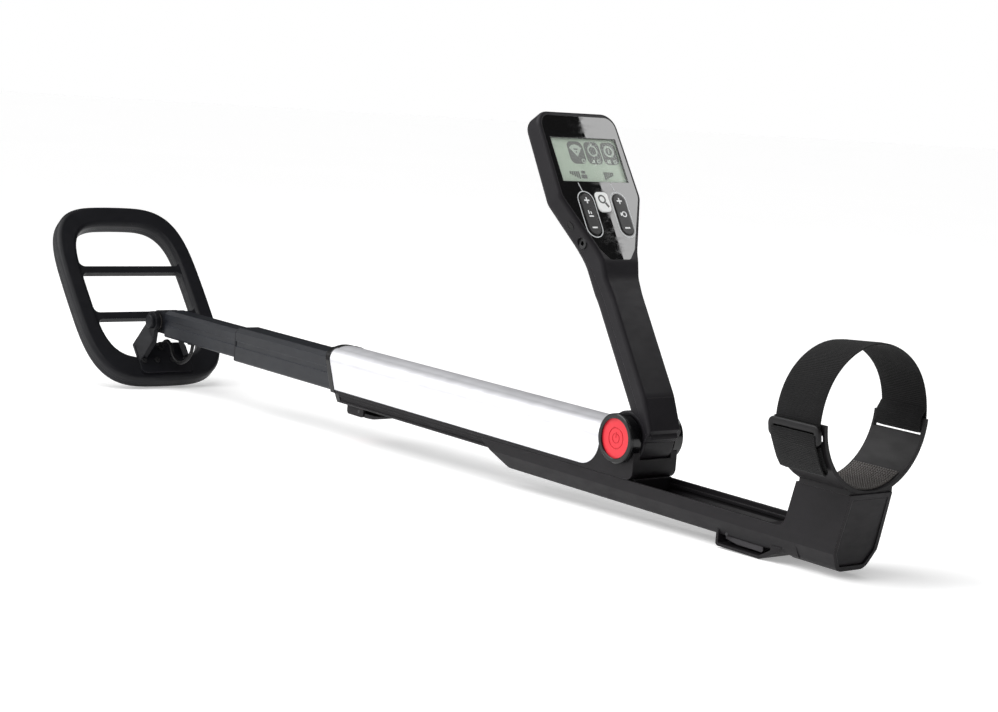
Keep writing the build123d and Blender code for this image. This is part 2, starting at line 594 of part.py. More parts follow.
def handle_blank(inset, round_front=0.0, round_face=0.0):
    """The handle's outer form, or its hollow when inset by the wall."""
    blank = prism_y(handle_side_view(inset), -60, 60) & prism_x(handle_front_view(inset), -80, 80)
    if round_front:
        blank = fillet(blank.edges().filter_by(lambda e: e.center().X < SHELL_SPLIT and e.center().Z > 20),
                       round_front)
    if round_face:
        blank = fillet(blank.edges().filter_by(lambda e: e.center().X > SHELL_SPLIT + 6 and e.center().Z > 20),
                       round_face)
    return blank


def in_handle(part):
    return Rot(0, -HANDLE_LEAN, 0) * part


def handle_hollow():
    return handle_blank(HANDLE_WALL) & block(-80, 80, -60, 60, 12, 300)


def panel_face(inset=0.0):
    """Outline of the glossy control panel: wide at the display, a rounded tongue towards the grip."""
    wide, top = POD_HALF - 3.4 - inset, PANEL_TOP - inset
    right = [(10.0 - inset, PANEL_LOW + 0.4 + inset), (17.5 - inset, 139), (wide, 184), (wide - 1.2, top)]
    left = [(-y, z) for y, z in reversed(right)]
    rounds = [(side * y, z, radius) for side in (-1, 1)
              for (y, z), radius in zip(right, (5, 9, 12, 9))]
    return outline(right + left, *rounds)


def handle_shell():
    """Both halves of the handle as one, with the cut-outs for all that it carries."""
    shell = handle_blank(0, 5.0, 3.0) - handle_hollow()
    shell -= rod_y(BARREL_R + 0.2, -40, 40)
    shell -= Rot(0, HANDLE_LEAN, 0) * block(-100, 100, -60, 60, -60, KNUCKLE_TOP)
    front, rear, half, top = SPIGOT
    shell -= block(front - 0.15, rear + 0.15, -half - 0.15, half + 0.15, -10, top + 0.15)
    shell -= prism_x(panel_face(-0.15), POD_FACE - 1.8, POD_FACE + 10)
    shell -= prism_x(panel_face(2.4), POD_FACE - 12, POD_FACE)
    shell -= block(GRIP_FRONT - 5, GRIP_FRONT + HANDLE_WALL + 2, -DOOR_HALF - 0.3, DOOR_HALF + 0.3,
                   DOOR_LOW - DOOR_SLIDE - 0.5, DOOR_HIGH + 0.3)
    shell -= rod_y(4.3, -60, -5, JACK_DEPTH, JACK_UP)
    return shell - Pos(18.25, -34.4, 168) * Rot(23.7, 0, 0) * Box(3.5, 2.4, 8)


def handle_front_shell():
    shell = handle_shell() & block(-50, SHELL_SPLIT - 0.03, -60, 60, -60, 300)
    for y, z in HANDLE_SCREWS:
        shell -= rod_x(2.7, POD_FRONT - 3, POD_FRONT + 1.3, y, z) + rod_x(1.5, POD_FRONT, POD_FRONT + 6, y, z)
    return shell


def handle_rear_shell():
    return handle_shell() & block(SHELL_SPLIT + 0.03, 80, -60, 60, -60, 300)


def handle_screws():
    screws = []
    for y, z in HANDLE_SCREWS:
        head = rod_x(2.5, POD_FRONT + 0.1, POD_FRONT + 1.25, y, z)
        head -= rod_x(1.1, POD_FRONT - 1, POD_FRONT + 0.9, y, z)
        screws.append(head + rod_x(1.4, POD_FRONT + 1.2, POD_FRONT + 5.5, y, z))
    return Compound(children=screws)


def hinge_knuckle():
    """Barrel at the foot of the handle that turns on the rings' trunnions, with a tongue into the grip."""
    barrel = rod_y(BARREL_R, -BARREL_HALF, BARREL_HALF)
    barrel = fillet(barrel.edges(), 1.5)
    front, rear, half, top = SPIGOT
    barrel += in_handle(block(front, rear, -half, half, 0, top))
    barrel -= rod_y(TRUNNION_R + 0.05, -20, -8.3) + rod_y(TRUNNION_R + 0.05, 8.3, 20)
    return barrel - rod_y(5.6, -20, 0)


def control_panel():
    panel = prism_x(panel_face(), POD_FACE - 1.7, POD_FACE)
    panel -= block(0, 80, -LCD_HALF, LCD_HALF, LCD_LOW, LCD_HIGH)
    for side in (-1, 1):
        panel -= prism_x(Pos(side * KEY_SIDE, KEY_UP) * stadium(KEY_WIDE + 0.8, KEY_LONG + 0.8), 0, 80)
    return panel - prism_x(Pos(0, FIND_UP) * RectangleRounded(FIND_WIDE + 0.6, FIND_TALL + 0.6, 3.9), 0, 80)


def stadium(width, length):
    return Rectangle(width, length - width) + Pos(0, (length - width) / 2) * Circle(width / 2) \
        + Pos(0, (width - length) / 2) * Circle(width / 2)


def display_window():
    half = LCD_HALF - 0.05
    return block(POD_FACE - 1.3, POD_FACE - 0.1, -half, half, LCD_LOW + 0.05, LCD_HIGH - 0.05)


def lcd_module():
    return block(POD_FACE - 5.2, POD_FACE - 2.1, -LCD_HALF - 0.8, LCD_HALF + 0.8, LCD_LOW - 2, LCD_HIGH + 2)


def main_board():
    board = outline([(-19, 152.8), (19, 152.8), (35, 190), (35, 250), (-35, 250), (-35, 190)])
    board = prism_x(board, 26.4, 28.0)
    chips = block(23.9, 26.45, -12, 4, 200, 216) + block(24.4, 26.45, 10, 20, 196, 204)
    switches = [rod_x(2.2, 27.9, 30.4, side * KEY_SIDE, KEY_UP + up) for side in (-1, 1) for up in (-13, 13)]
    return board + chips + switches + rod_x(2.2, 27.9, 30.4, 0, FIND_UP)


def speaker():
    cone = rod_x(12.0, 20.0, 24.0, 0, 234) - rod_x(9.5, 18.0, 20.8, 0, 234)
    return cone + rod_x(3.5, 20.2, 21.2, 0, 234)


def rocker_key(side):
    cap = prism_x(stadium(KEY_WIDE, KEY_LONG), POD_FACE - 2.4, POD_FACE + 0.7)
    cap = fillet(cap.faces().sort_by(Axis.X)[-1].edges(), 0.6)
    stem = block(POD_FACE - 4.4, POD_FACE - 2.3, -4, 4, -14, 14)
    return Pos(0, side * KEY_SIDE, KEY_UP) * (cap + stem)


def find_button():
    cap = prism_x(RectangleRounded(FIND_WIDE, FIND_TALL, 3.6), POD_FACE - 2.4, POD_FACE + 0.8)
    cap = fillet(cap.faces().sort_by(Axis.X)[-1].edges(), 0.6)
    stem = block(POD_FACE - 4.2, POD_FACE - 2.3, -3, 3, -3, 3)
    return Pos(0, 0, FIND_UP) * (cap + stem)


def headphone_socket():
    body = rod_y(4.1, -25.6, -13.0, JACK_DEPTH, JACK_UP)
    return body - rod_y(JACK_R, -40, -14.0, JACK_DEPTH, JACK_UP)


def battery_door():
    door = block(GRIP_FRONT + 0.15, GRIP_FRONT + HANDLE_WALL, -DOOR_HALF, DOOR_HALF, DOOR_LOW, DOOR_HIGH)
    door = fillet(door.edges().filter_by(Axis.X), 3)
    for k in range(6):
        door -= block(GRIP_FRONT - 1, GRIP_FRONT + 0.7, -8, 8, DOOR_LOW + 5 + 3 * k, DOOR_LOW + 6.4 + 3 * k)
    return door


def batteries():
    cells = []
    for row in (0, 1):
        low = CELL_LOW + row * (CELL_LENGTH + 0.4)
        for y in (-CELL_R - 0.12, CELL_R + 0.12):
            cell = rod_z(CELL_R, low, low + CELL_LENGTH - 1.2, CELL_N, y)
            cells.append(cell + rod_z(2.6, low, low + CELL_LENGTH, CELL_N, y))
    return Compound(children=cells)


def battery_tray():
    """Contact plates at both ends of the cells on one thin spine behind them."""
    low, high, rear = CELL_LOW - 0.9, CELL_LOW + 2 * CELL_LENGTH + 0.5, CELL_N + CELL_R + 0.1
    tray = block(rear, rear + 0.5, -10, 10, low, high + 0.8)
    for z in (low, high):
        tray += block(15.5, rear + 0.5, -12.8, 12.8, z, z + 0.8)
    return tray


# ---------------------------------------------------------------- sliding arm rest

def channel_outer():
    points = [(CHANNEL_HALF, BODY_FLOOR - SHELL_GAP), (CHANNEL_HALF, CHANNEL_CREASE),
              (CHANNEL_FLAT, CHANNEL_BOTTOM)]
    return outline(points + [(-y, z) for y, z in reversed(points)],
                   (CHANNEL_FLAT, CHANNEL_BOTTOM, 3.0), (-CHANNEL_FLAT, CHANNEL_BOTTOM, 3.0))


def channel_inner():
    half = CHANNEL_HALF - CHANNEL_WALL
    points = [(half, BODY_FLOOR + 2), (half, CHANNEL_CREASE + 0.4),
              (CHANNEL_FLAT - 1.6, CHANNEL_BOTTOM + CHANNEL_WALL)]
    return outline(points + [(-y, z) for y, z in reversed(points)])


def channel():
    """Trough that wraps the keel, with a lip inside each wall that runs in the keel's groove."""
    trough = prism_x(channel_outer(), CHANNEL_FRONT, BLOCK_FRONT + 4) \
        - prism_x(channel_inner(), CHANNEL_FRONT - 1, SOLID_FRONT)
    for side in (-1, 1):
        lip = outline([(side * (CHANNEL_HALF - 1), -33.4), (side * (KEEL_HALF - 0.8), -33.4),
                       (side * (KEEL_HALF - 0.8), -35.6), (side * (CHANNEL_HALF - 1), -35.6)])
        trough += prism_x(lip, CHANNEL_FRONT, BLOCK_FRONT)
    nose = outline([(CHANNEL_FRONT - 5, BODY_FLOOR + 3), (CHANNEL_FRONT, BODY_FLOOR + 3),
                    (CHANNEL_FRONT, BODY_FLOOR - 2.2), (CHANNEL_FRONT + CHANNEL_TAPER, CHANNEL_BOTTOM - 1),
                    (CHANNEL_FRONT - 5, CHANNEL_BOTTOM - 1)])
    return trough - prism_y(nose, -40, 40)


def lean(height):
    """How far the block's leaning ends move forward over a height."""
    return height * math.tan(math.radians(BLOCK_LEAN))


def block_section(wall, gap=0.0):
    """Section of the block, of its hollow when given the wall, or of the hollow's cap with a gap."""
    half, top = CHANNEL_HALF - wall - gap, BLOCK_TOP - 1.2 * wall - gap
    sole_half, sole = 14 - wall / 2 - gap, -52 + 1.2 * wall + gap
    right = [(half - 1.2, top), (half, BODY_FLOOR), (half, CHANNEL_CREASE + gap), (sole_half, sole)]
    left = [(-y, z) for y, z in reversed(right)]
    corner = 9.0 if wall == 0 else 4.0
    return outline(right + left, (sole_half, sole, corner), (-sole_half, sole, corner))


def arm_block():
    """Deep block that carries the cuff; its roof reaches forward over the end of the trough."""
    foot = BLOCK_FRONT - lean(34)
    side = outline([(BLOCK_FRONT, BLOCK_TOP + 6), (BLOCK_REAR, BLOCK_TOP + 6), (BLOCK_REAR - lean(57), -53.4),
                    (SOLID_FRONT + 1, -53.4), (SOLID_FRONT + 1, BODY_FLOOR - 2.3),
                    (ROOF_FRONT, BODY_FLOOR - 2.3), (ROOF_FRONT, BODY_FLOOR - SHELL_GAP),
                    (foot, BODY_FLOOR - SHELL_GAP)], (foot, BODY_FLOOR, 9.0))
    return prism_x(block_section(0), 120, 260) & prism_y(side, -40, 40)


def block_hollow():
    front = BLOCK_FRONT + 4
    side = outline([(front, 0.5), (BLOCK_REAR + 10, 0.5), (BLOCK_REAR + 10, -60), (front - lean(60), -60)])
    return prism_x(block_section(3.0), 120, 260) & prism_y(side, -40, 40)


def guard():
    """Bent strip under the channel that shields the latch, open at both sides."""
    front, rear, low = GUARD_FRONT, GUARD_REAR, GUARD_BOTTOM
    outer = outline([(front, -46), (front, low), (rear - 8, low), (rear + 6, -51.5), (rear + 12, -46)],
                    (front, low, 2.5), (rear - 8, low, 4.0))
    inner = outline([(front + 2.2, -40), (front + 2.2, low + 2.0), (rear - 9, low + 2.0), (rear + 2, -49.5),
                     (rear + 2, -40)], (front + 2.2, low + 2.0, 1.5), (rear - 9, low + 2.0, 3.0))
    return prism_y(outer, -18.5, 18.5) - prism_y(inner, -30, 30)


def carriage():
    """Channel, block and guard as one moulding."""
    body = channel() + (arm_block() - block_hollow())
    body += guard() - prism_x(channel_inner(), 90, 190)
    room = LATCH_HALF + 0.4
    body -= block(LATCH_FRONT - 2.5, LATCH_REAR + 1.2, -room, room, GUARD_BOTTOM + 2.1, -40)
    for x, y in CUFF_SCREWS:
        body -= rod_z(1.5, BLOCK_TOP - 3.4, BLOCK_TOP + 1, x, y)
    return body - rod_y(1.5, -17.5, 17.5, *LATCH_PIN)


def rear_cover():
    """Cap that closes the block from behind."""
    front = BLOCK_REAR - 3.0
    side = outline([(front, 10), (BLOCK_REAR, 10), (BLOCK_REAR - lean(70), -60), (front - lean(70), -60)])
    return prism_x(block_section(3.0, 0.15), 180, 260) & prism_y(side, -40, 40)


def ring_band(radius, thick, from_deg, to_deg, x0, x1, centre=CUFF_Z):
    """Part of a hoop about the arm's axis; angles in degrees from +Y, turning up."""
    a, b = math.radians(from_deg), math.radians(to_deg)
    mid = (a + b) / 2

    def on(r, angle):
        return (r * math.cos(angle), centre + r * math.sin(angle))

    outer = ThreePointArc(on(radius + thick, a), on(radius + thick, mid), on(radius + thick, b))
    inner = ThreePointArc(on(radius, a), on(radius, mid), on(radius, b))
    ends = [Line(on(radius + thick, angle), on(radius, angle)) for angle in (a, b)]
    return prism_x(make_face([outer, inner] + ends), x0, x1)


def arm_cuff():
    """Open trough for the forearm with a strap slot near each tip."""
    cuff = ring_band(CUFF_R, CUFF_WALL, -180 + CUFF_TIP, -CUFF_TIP, CUFF_FRONT, CUFF_REAR)
    cuff = cuff + ring_band(CUFF_R, CUFF_WALL, -CUFF_TIP - 1, -2, CUFF_FRONT, CUFF_REAR)
    cuff += ring_band(CUFF_R, CUFF_WALL, -178, -179 + CUFF_TIP, CUFF_FRONT, CUFF_REAR)
    for side in (-1, 1):
        slot = block(CUFF_FRONT + 2, CUFF_REAR - 2, 30, 60, CUFF_Z - 13.2, CUFF_Z - 8.6)
        cuff -= slot if side > 0 else mirror(slot, Plane.XZ)
    saddle = block(CUFF_FRONT, CUFF_REAR, -17, 17, BLOCK_TOP + 0.05, CUFF_Z - CUFF_R - 1)
    saddle -= rod_x(CUFF_R + 0.5, CUFF_FRONT - 1, CUFF_REAR + 1, 0, CUFF_Z)
    cuff = cuff - block(150, 260, -60, 60, -20, BLOCK_TOP + 0.05) + saddle
    for x, y in CUFF_SCREWS:
        cuff -= rod_z(1.7, BLOCK_TOP - 1, BLOCK_TOP + 8, x, y)
        cuff -= rod_z(3.0, BLOCK_TOP + 1.4, BLOCK_TOP + 9, x, y)
    return cuff


def cuff_screws():
    screws = []
    for x, y in CUFF_SCREWS:
        head = rod_z(2.8, BLOCK_TOP + 1.45, BLOCK_TOP + 1.75, x, y)
        screws.append(head + rod_z(1.45, BLOCK_TOP - 3.3, BLOCK_TOP + 1.5, x, y))
    return Compound(children=screws)


def cuff_pad():
    return ring_band(CUFF_R - 1.7, 1.6, -128, -52, CUFF_FRONT + 3, CUFF_REAR - 3)


def arm_strap():
    x0 = (CUFF_FRONT + CUFF_REAR - STRAP_WIDTH) / 2
    return ring_band(STRAP_R, STRAP_THICK, -8, 188, x0, x0 + STRAP_WIDTH, STRAP_Z)


def strap_tail():
    """Free end of the webbing, folded flat against the left wing."""
    x0 = (CUFF_FRONT + CUFF_REAR - STRAP_WIDTH) / 2
    return ring_band(CUFF_R + CUFF_WALL + 0.3, 3.4, 198, 222, x0, x0 + STRAP_WIDTH)


def strap_buckle():
    frame = ring_band(CUFF_R + CUFF_WALL + 2.6, 3.2, 182, 196.5, CUFF_FRONT - 1, CUFF_REAR + 1)
    frame = fillet(frame.edges().filter_by(Axis.X), 1.2)
    return frame - block(CUFF_FRONT + 2.4, CUFF_REAR - 2.4, -80, -40, CUFF_Z - 11.2, CUFF_Z - 5.6)


def carriage_latch():
    """Paddle in the guard; pushed up, it frees the arm rest to slide."""
    px, pz = LATCH_PIN
    side = outline([(LATCH_FRONT, -52.5), (LATCH_FRONT, pz + 2), (px + 3, pz + 2.2), (LATCH_REAR, -47.4),
                    (LATCH_REAR, -54.4), (LATCH_FRONT + 12, -54.4)],
                   (LATCH_REAR, -54.4, 1.5), (LATCH_FRONT + 12, -54.4, 6.0))
    paddle = prism_y(side, -LATCH_HALF, LATCH_HALF)
    return paddle - rod_y(1.55, -20, 20, px, pz) - block(px - 3, px + 3, -3.2, 3.2, -60, -40)


def latch_pin():
    return rod_y(1.5, -17.2, 17.2, *LATCH_PIN)


def latch_spring():
    return rod_y(2.6, -2.9, 2.9, *LATCH_PIN) - rod_y(1.6, -20, 20, *LATCH_PIN)


# ---------------------------------------------------------------- assembly

SHAFT_FRAME = {
    "body_frame": body_frame,
    "upper_sleeve": upper_sleeve,
    "front_bezel": front_bezel,
    "left_hinge_ring": left_hinge_ring,
    "right_hinge_ring": right_hinge_ring,
    "body_screws": body_screws,
    "lock_bracket": lock_bracket,
    "lock_pin": lock_pin,
    "lock_spring": lock_spring,
    "lock_lever": lock_lever,
    "lock_nose": lock_nose,
    "release_button": release_button,
    "button_spring": button_spring,
    "mid_shaft": mid_shaft,
    "mid_shaft_collar": mid_shaft_collar,
    "mid_shaft_bush": mid_shaft_bush,
    "lower_shaft": lower_shaft,
    "lower_shaft_bush": lower_shaft_bush,
    "shaft_fork": shaft_fork,
    "cable_grommet": cable_grommet,
    "coil_cable": coil_cable,
    "hinge_knuckle": hinge_knuckle,
    "arm_carriage": carriage,
    "rear_cover": rear_cover,
    "arm_cuff": arm_cuff,
    "cuff_screws": cuff_screws,
    "cuff_pad": cuff_pad,
    "arm_strap": arm_strap,
    "strap_tail": strap_tail,
    "strap_buckle": strap_buckle,
    "carriage_latch": carriage_latch,
    "latch_pin": latch_pin,
    "latch_spring": latch_spring,
}
COIL_FRAME = {
    "coil_top_shell": coil_top_shell,
    "coil_skid": coil_skid,
    "coil_winding": coil_winding,
    "coil_yoke": coil_yoke,
    "yoke_screws": yoke_screws,
    "pivot_bolt": pivot_bolt,
    "pivot_nut": pivot_nut,
    "pivot_washers": pivot_washers,
    "cable_gland": cable_gland,
}
HANDLE_FRAME = {
    "handle_front_shell": handle_front_shell,
    "handle_rear_shell": handle_rear_shell,
    "handle_screws": handle_screws,
    "control_panel": control_panel,
    "display_window": display_window,
    "lcd_module": lcd_module,
    "main_board": main_board,
    "speaker": speaker,
    "left_key": lambda: rocker_key(-1),
    "right_key": lambda: rocker_key(1),
    "find_button": find_button,
    "headphone_socket": headphone_socket,
    "battery_door": battery_door,
    "batteries": batteries,
    "battery_tray": battery_tray,
}


def build_all():
    parts = {name: make() for name, make in SHAFT_FRAME.items()}
    parts.update({name: at_coil(make()) for name, make in COIL_FRAME.items()})
    parts.update({name: in_handle(make()) for name, make in HANDLE_FRAME.items()})
    return parts


def rest_pose(parts):
    """Pitch that lays the coil's rear edge and the guard on one level, then origin below the middle."""
    low_x, low_z = coil_point(COIL_LENGTH / 2 - COIL_AHEAD - COIL_SOLE_ROUND, COIL_SOLE + COIL_SOLE_ROUND)
    rise = GUARD_BOTTOM - (low_z - COIL_SOLE_ROUND)
    pitch = math.degrees(math.atan2(rise, GUARD_REAR - 10 - low_x))
    turned = Rot(0, pitch, 0)
    boxes = [(turned * part).bounding_box() for part in parts.values()]
    x = (min(b.min.X for b in boxes) + max(b.max.X for b in boxes)) / 2
    y = (min(b.min.Y for b in boxes) + max(b.max.Y for b in boxes)) / 2
    z = min(b.min.Z for b in boxes)
    print(f"rest pose: pitch {pitch:.4f} deg, shift {-x:.4f} {-y:.4f} {-z:.4f} mm")
    return Pos(-x, -y, -z) * turned


os.makedirs("parts", exist_ok=True)
detector = build_all()
rest = rest_pose(detector)
for node, part in detector.items():
    export_step(rest * part, f"parts/{node}.step")
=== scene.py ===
"""Finishes and soft pieces of a folding metal detector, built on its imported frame.

Sizes in the classes are millimetres in the detector's own frames, which Axes turns
into the row frame's metres.
"""

import json
import logging
import math
from dataclasses import dataclass, field
from enum import Enum
from typing import Any, Callable, Iterable, Sequence

import bpy
from mathutils import Matrix, Vector

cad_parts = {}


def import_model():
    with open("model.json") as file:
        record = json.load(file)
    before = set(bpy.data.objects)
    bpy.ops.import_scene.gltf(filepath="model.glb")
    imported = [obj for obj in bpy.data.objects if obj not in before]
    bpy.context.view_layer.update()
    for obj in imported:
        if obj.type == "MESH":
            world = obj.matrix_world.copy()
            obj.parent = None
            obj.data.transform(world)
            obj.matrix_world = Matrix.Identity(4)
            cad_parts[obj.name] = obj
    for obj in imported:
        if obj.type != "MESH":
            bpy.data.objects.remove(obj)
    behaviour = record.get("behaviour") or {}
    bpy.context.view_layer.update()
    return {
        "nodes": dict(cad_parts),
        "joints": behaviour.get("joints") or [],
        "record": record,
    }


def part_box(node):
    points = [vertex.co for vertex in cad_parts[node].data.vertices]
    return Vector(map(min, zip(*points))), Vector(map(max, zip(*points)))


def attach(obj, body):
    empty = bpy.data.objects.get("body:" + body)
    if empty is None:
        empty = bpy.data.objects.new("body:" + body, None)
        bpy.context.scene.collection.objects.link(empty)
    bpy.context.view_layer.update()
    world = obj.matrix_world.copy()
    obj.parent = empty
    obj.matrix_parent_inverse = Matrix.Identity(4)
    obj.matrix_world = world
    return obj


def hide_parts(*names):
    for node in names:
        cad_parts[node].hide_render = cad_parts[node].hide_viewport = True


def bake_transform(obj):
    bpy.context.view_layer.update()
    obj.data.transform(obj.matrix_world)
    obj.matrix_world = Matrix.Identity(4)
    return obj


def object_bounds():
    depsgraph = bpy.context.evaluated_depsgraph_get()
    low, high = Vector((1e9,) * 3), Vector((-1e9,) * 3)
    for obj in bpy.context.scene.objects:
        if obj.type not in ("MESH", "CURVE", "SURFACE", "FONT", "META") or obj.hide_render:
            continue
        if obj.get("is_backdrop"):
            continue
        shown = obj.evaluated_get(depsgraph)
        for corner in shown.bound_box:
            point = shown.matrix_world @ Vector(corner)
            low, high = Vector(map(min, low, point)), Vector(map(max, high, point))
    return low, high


MM = 0.001
LOG = logging.getLogger("metal_detector")
Point2 = tuple[float, float]
Colour = tuple[float, float, float]


# ------------------------------------------------------------------ frames

@dataclass(frozen=True)
class Axes:
    """A frame of the detector, stated in the row frame.

    Attributes:
        origin: where its origin is, in metres.
        ahead: the unit direction of its first coordinate.
        side: that of its second.
        up: that of its third.
    """

    origin: Vector
    ahead: Vector
    side: Vector
    up: Vector

    def at(self, x: float, y: float, z: float) -> Vector:
        """The row-frame point, in metres, of a point given in this frame's millimetres."""
        return self.origin + self.way(x, y, z) * MM

    def way(self, x: float, y: float, z: float) -> Vector:
        """The row-frame direction of a direction in this frame."""
        return self.ahead * x + self.side * y + self.up * z

    def pitched(self, degrees: float) -> "Axes":
        """A frame with this one's origin, pitched nose down.

        Args:
            degrees: how far its first direction leans below this one's.

        Returns:
            The new frame.
        """
        a = math.radians(degrees)
        return Axes(self.at(0, 0, 0), self.way(math.cos(a), 0, -math.sin(a)),
                    self.side, self.way(math.sin(a), 0, math.cos(a)))


@dataclass(frozen=True)
class Frames:
    """The frames that the detector's pieces are laid out in.

    Attributes:
        shaft: from the handle's hinge, along the shafts towards the coil's far side.
        handle: from the same hinge, up the handle.
    """

    shaft: Axes
    handle: Axes

    @classmethod
    def of(cls, joints: Sequence[dict]) -> "Frames":
        """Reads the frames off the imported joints.

        Args:
            joints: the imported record's joints.

        Returns:
            The shaft's and the handle's frames.
        """
        named = {joint["name"]: joint for joint in joints}
        ahead = Vector(named["mid_shaft_slide"]["axis"]).normalized()
        side = Vector((0, 1, 0))
        fold = named["handle_fold"]
        shaft = Axes(Vector(fold["pos_m"]), ahead, side, ahead.cross(side))
        lean = 90 - fold["range_deg"][1]
        return cls(shaft, shaft.pitched(-lean))


# ------------------------------------------------------------------ shader maths

class Wire:
    """A number that varies over a surface; arithmetic on it adds Math nodes."""

    def __init__(self, tree: "Tree", socket: bpy.types.NodeSocket) -> None:
        """Keeps the tree and the socket that carries the number."""
        self.tree, self.socket = tree, socket

    def _math(self, operation: str, *values: "Wire | float") -> "Wire":
        """Adds one Math node.

        Args:
            operation: Blender's name of the operation.
            values: its operands, in order.

        Returns:
            The result.
        """
        return self.tree.add("ShaderNodeMath", {"operation": operation}, dict(enumerate(values)))

    def __add__(self, other: "Wire | float") -> "Wire":
        """Sum."""
        return self._math("ADD", self, other)

    def __radd__(self, other: float) -> "Wire":
        """Sum, number first."""
        return self._math("ADD", other, self)

    def __sub__(self, other: "Wire | float") -> "Wire":
        """Difference."""
        return self._math("SUBTRACT", self, other)

    def __rsub__(self, other: float) -> "Wire":
        """Difference, number first."""
        return self._math("SUBTRACT", other, self)

    def __mul__(self, other: "Wire | float") -> "Wire":
        """Product."""
        return self._math("MULTIPLY", self, other)

    def __rmul__(self, other: float) -> "Wire":
        """Product, number first."""
        return self._math("MULTIPLY", other, self)

    def wave(self, pitch: float) -> "Wire":
        """A sine wave from 0 to 1 that repeats every pitch."""
        return 0.5 + 0.5 * self._math("SINE", self * (2 * math.pi / pitch))

    def over(self, low: float, high: float) -> "Wire":
        """0 below low, 1 above high, and smooth between."""
        return self.tree.add("ShaderNodeMapRange", {"interpolation_type": "SMOOTHSTEP"},
                             {0: self, 1: low, 2: high, 3: 0.0, 4: 1.0})

    def larger(self, other: "Wire | float") -> "Wire":
        """The larger of the two."""
        return self._math("MAXIMUM", self, other)


class Tree:
    """The node tree of a material or of the world."""

    def __init__(self, owner: "bpy.types.Material | bpy.types.World") -> None:
        """Keeps the owner and its nodes and links."""
        owner.use_nodes = True
        self.owner = owner
        self.nodes, self.links = owner.node_tree.nodes, owner.node_tree.links

    @classmethod
    def empty(cls, name: str) -> "Tree":
        """Starts a material of that name.

        Args:
            name: the material's name.

        Returns:
            Its tree, with no nodes in it.
        """
        tree = cls(bpy.data.materials.new(name))
        tree.nodes.clear()
        return tree

    def add(self, kind: str, settings: dict[str, Any] | None = None,
            sockets: dict[Any, Any] | None = None, out: int | str = 0) -> Wire:
        """Adds one node.

        Args:
            kind: Blender's name of the node's type.
            settings: its properties.
            sockets: values or wires for its inputs, by name or number.
            out: the output that is wanted.

        Returns:
            That output.
        """
        node = self.nodes.new(kind)
        for name, value in (settings or {}).items():
            setattr(node, name, value)
        for name, value in (sockets or {}).items():
            if isinstance(value, Wire):
                self.links.new(value.socket, node.inputs[name])
            else:
                node.inputs[name].default_value = value
        return Wire(self, node.outputs[out])

    def place(self) -> Wire:
        """The point in the piece's own space, in metres."""
        return self.add("ShaderNodeTexCoord", out="Object")

    def axis(self, vector: Wire, name: str) -> Wire:
        """One coordinate of a vector."""
        return self.add("ShaderNodeSeparateXYZ", sockets={0: vector}, out=name)

    def noise(self, vector: Wire, size: float, detail: float = 3.0) -> Wire:
        """Noise from 0 to 1 with blotches about size metres across."""
        return self.add("ShaderNodeTexNoise", sockets={
            "Vector": vector, "Scale": 1 / size, "Detail": detail, "Roughness": 0.55})

    def stretched(self, vector: Wire, scale: Colour) -> Wire:
        """The vector times a scale along each axis."""
        return self.add("ShaderNodeVectorMath", {"operation": "MULTIPLY"}, {0: vector, 1: scale})

    def blend(self, share: "Wire | float", first: Any, second: Any) -> Wire:
        """A colour between two, by share."""
        return self.add("ShaderNodeMix", {"data_type": "RGBA"}, {
            0: share, 6: self.paint(first), 7: self.paint(second)}, out=2)

    @staticmethod
    def paint(colour: Any) -> Any:
        """A colour with its alpha, or a wire as it is."""
        return colour if isinstance(colour, Wire) else (*colour, 1.0)

    def rounded(self, radius: float) -> Wire:
        """The normal as if the edges were rounded to that radius, in metres."""
        return self.add("ShaderNodeBevel", {"samples": 4}, {"Radius": radius})

    def edges(self, normal: Wire) -> Wire:
        """Where a rounded normal leaves the face's own.

        Args:
            normal: the rounded normal.

        Returns:
            0 on flats, up to 1 on edges.
        """
        flat = self.add("ShaderNodeNewGeometry", out="Normal")
        near = self.add("ShaderNodeVectorMath", {"operation": "DOT_PRODUCT"},
                        {0: normal, 1: flat}, out="Value")
        return (1 - near).over(0.01, 0.22)

    def bump(self, height: Wire, depth: float, normal: Wire | None = None) -> Wire:
        """A normal with relief.

        Args:
            height: the relief, from 0 to 1.
            depth: how deep it is, in metres.
            normal: the normal it is laid on.

        Returns:
            The new normal.
        """
        sockets: dict[Any, Any] = {"Height": height, "Distance": depth, "Strength": 1.0}
        if normal is not None:
            sockets["Normal"] = normal
        return self.add("ShaderNodeBump", sockets=sockets)

    def close(self, sockets: dict[str, Any]) -> bpy.types.Material:
        """Adds the surface shader and the output.

        Args:
            sockets: the surface shader's inputs.

        Returns:
            The finished material.
        """
        surface = self.add("ShaderNodeBsdfPrincipled", sockets=sockets)
        output = self.nodes.new("ShaderNodeOutputMaterial")
        self.links.new(surface.socket, output.inputs["Surface"])
        return self.owner


# ------------------------------------------------------------------ finishes

DRIFT_SIZE = 0.03       # blotches of the colour's drift, in metres
SMEAR_SIZE = 0.012      # handling smears, in metres
SMEAR_ROUGH = 0.1       # how much roughness the smears add or take
WORN_SMOOTH = 0.12      # how much roughness worn edges lose
EDGE_HIGHLIGHT_LIFT = 3.2         # how much lighter the painted highlight makes a fully rounded edge
COAT_ROUGH = 0.06


def shade(colour: Colour, share: float) -> Colour:
    """A colour made darker or lighter by a share."""
    return tuple(min(1.0, part * share) for part in colour)


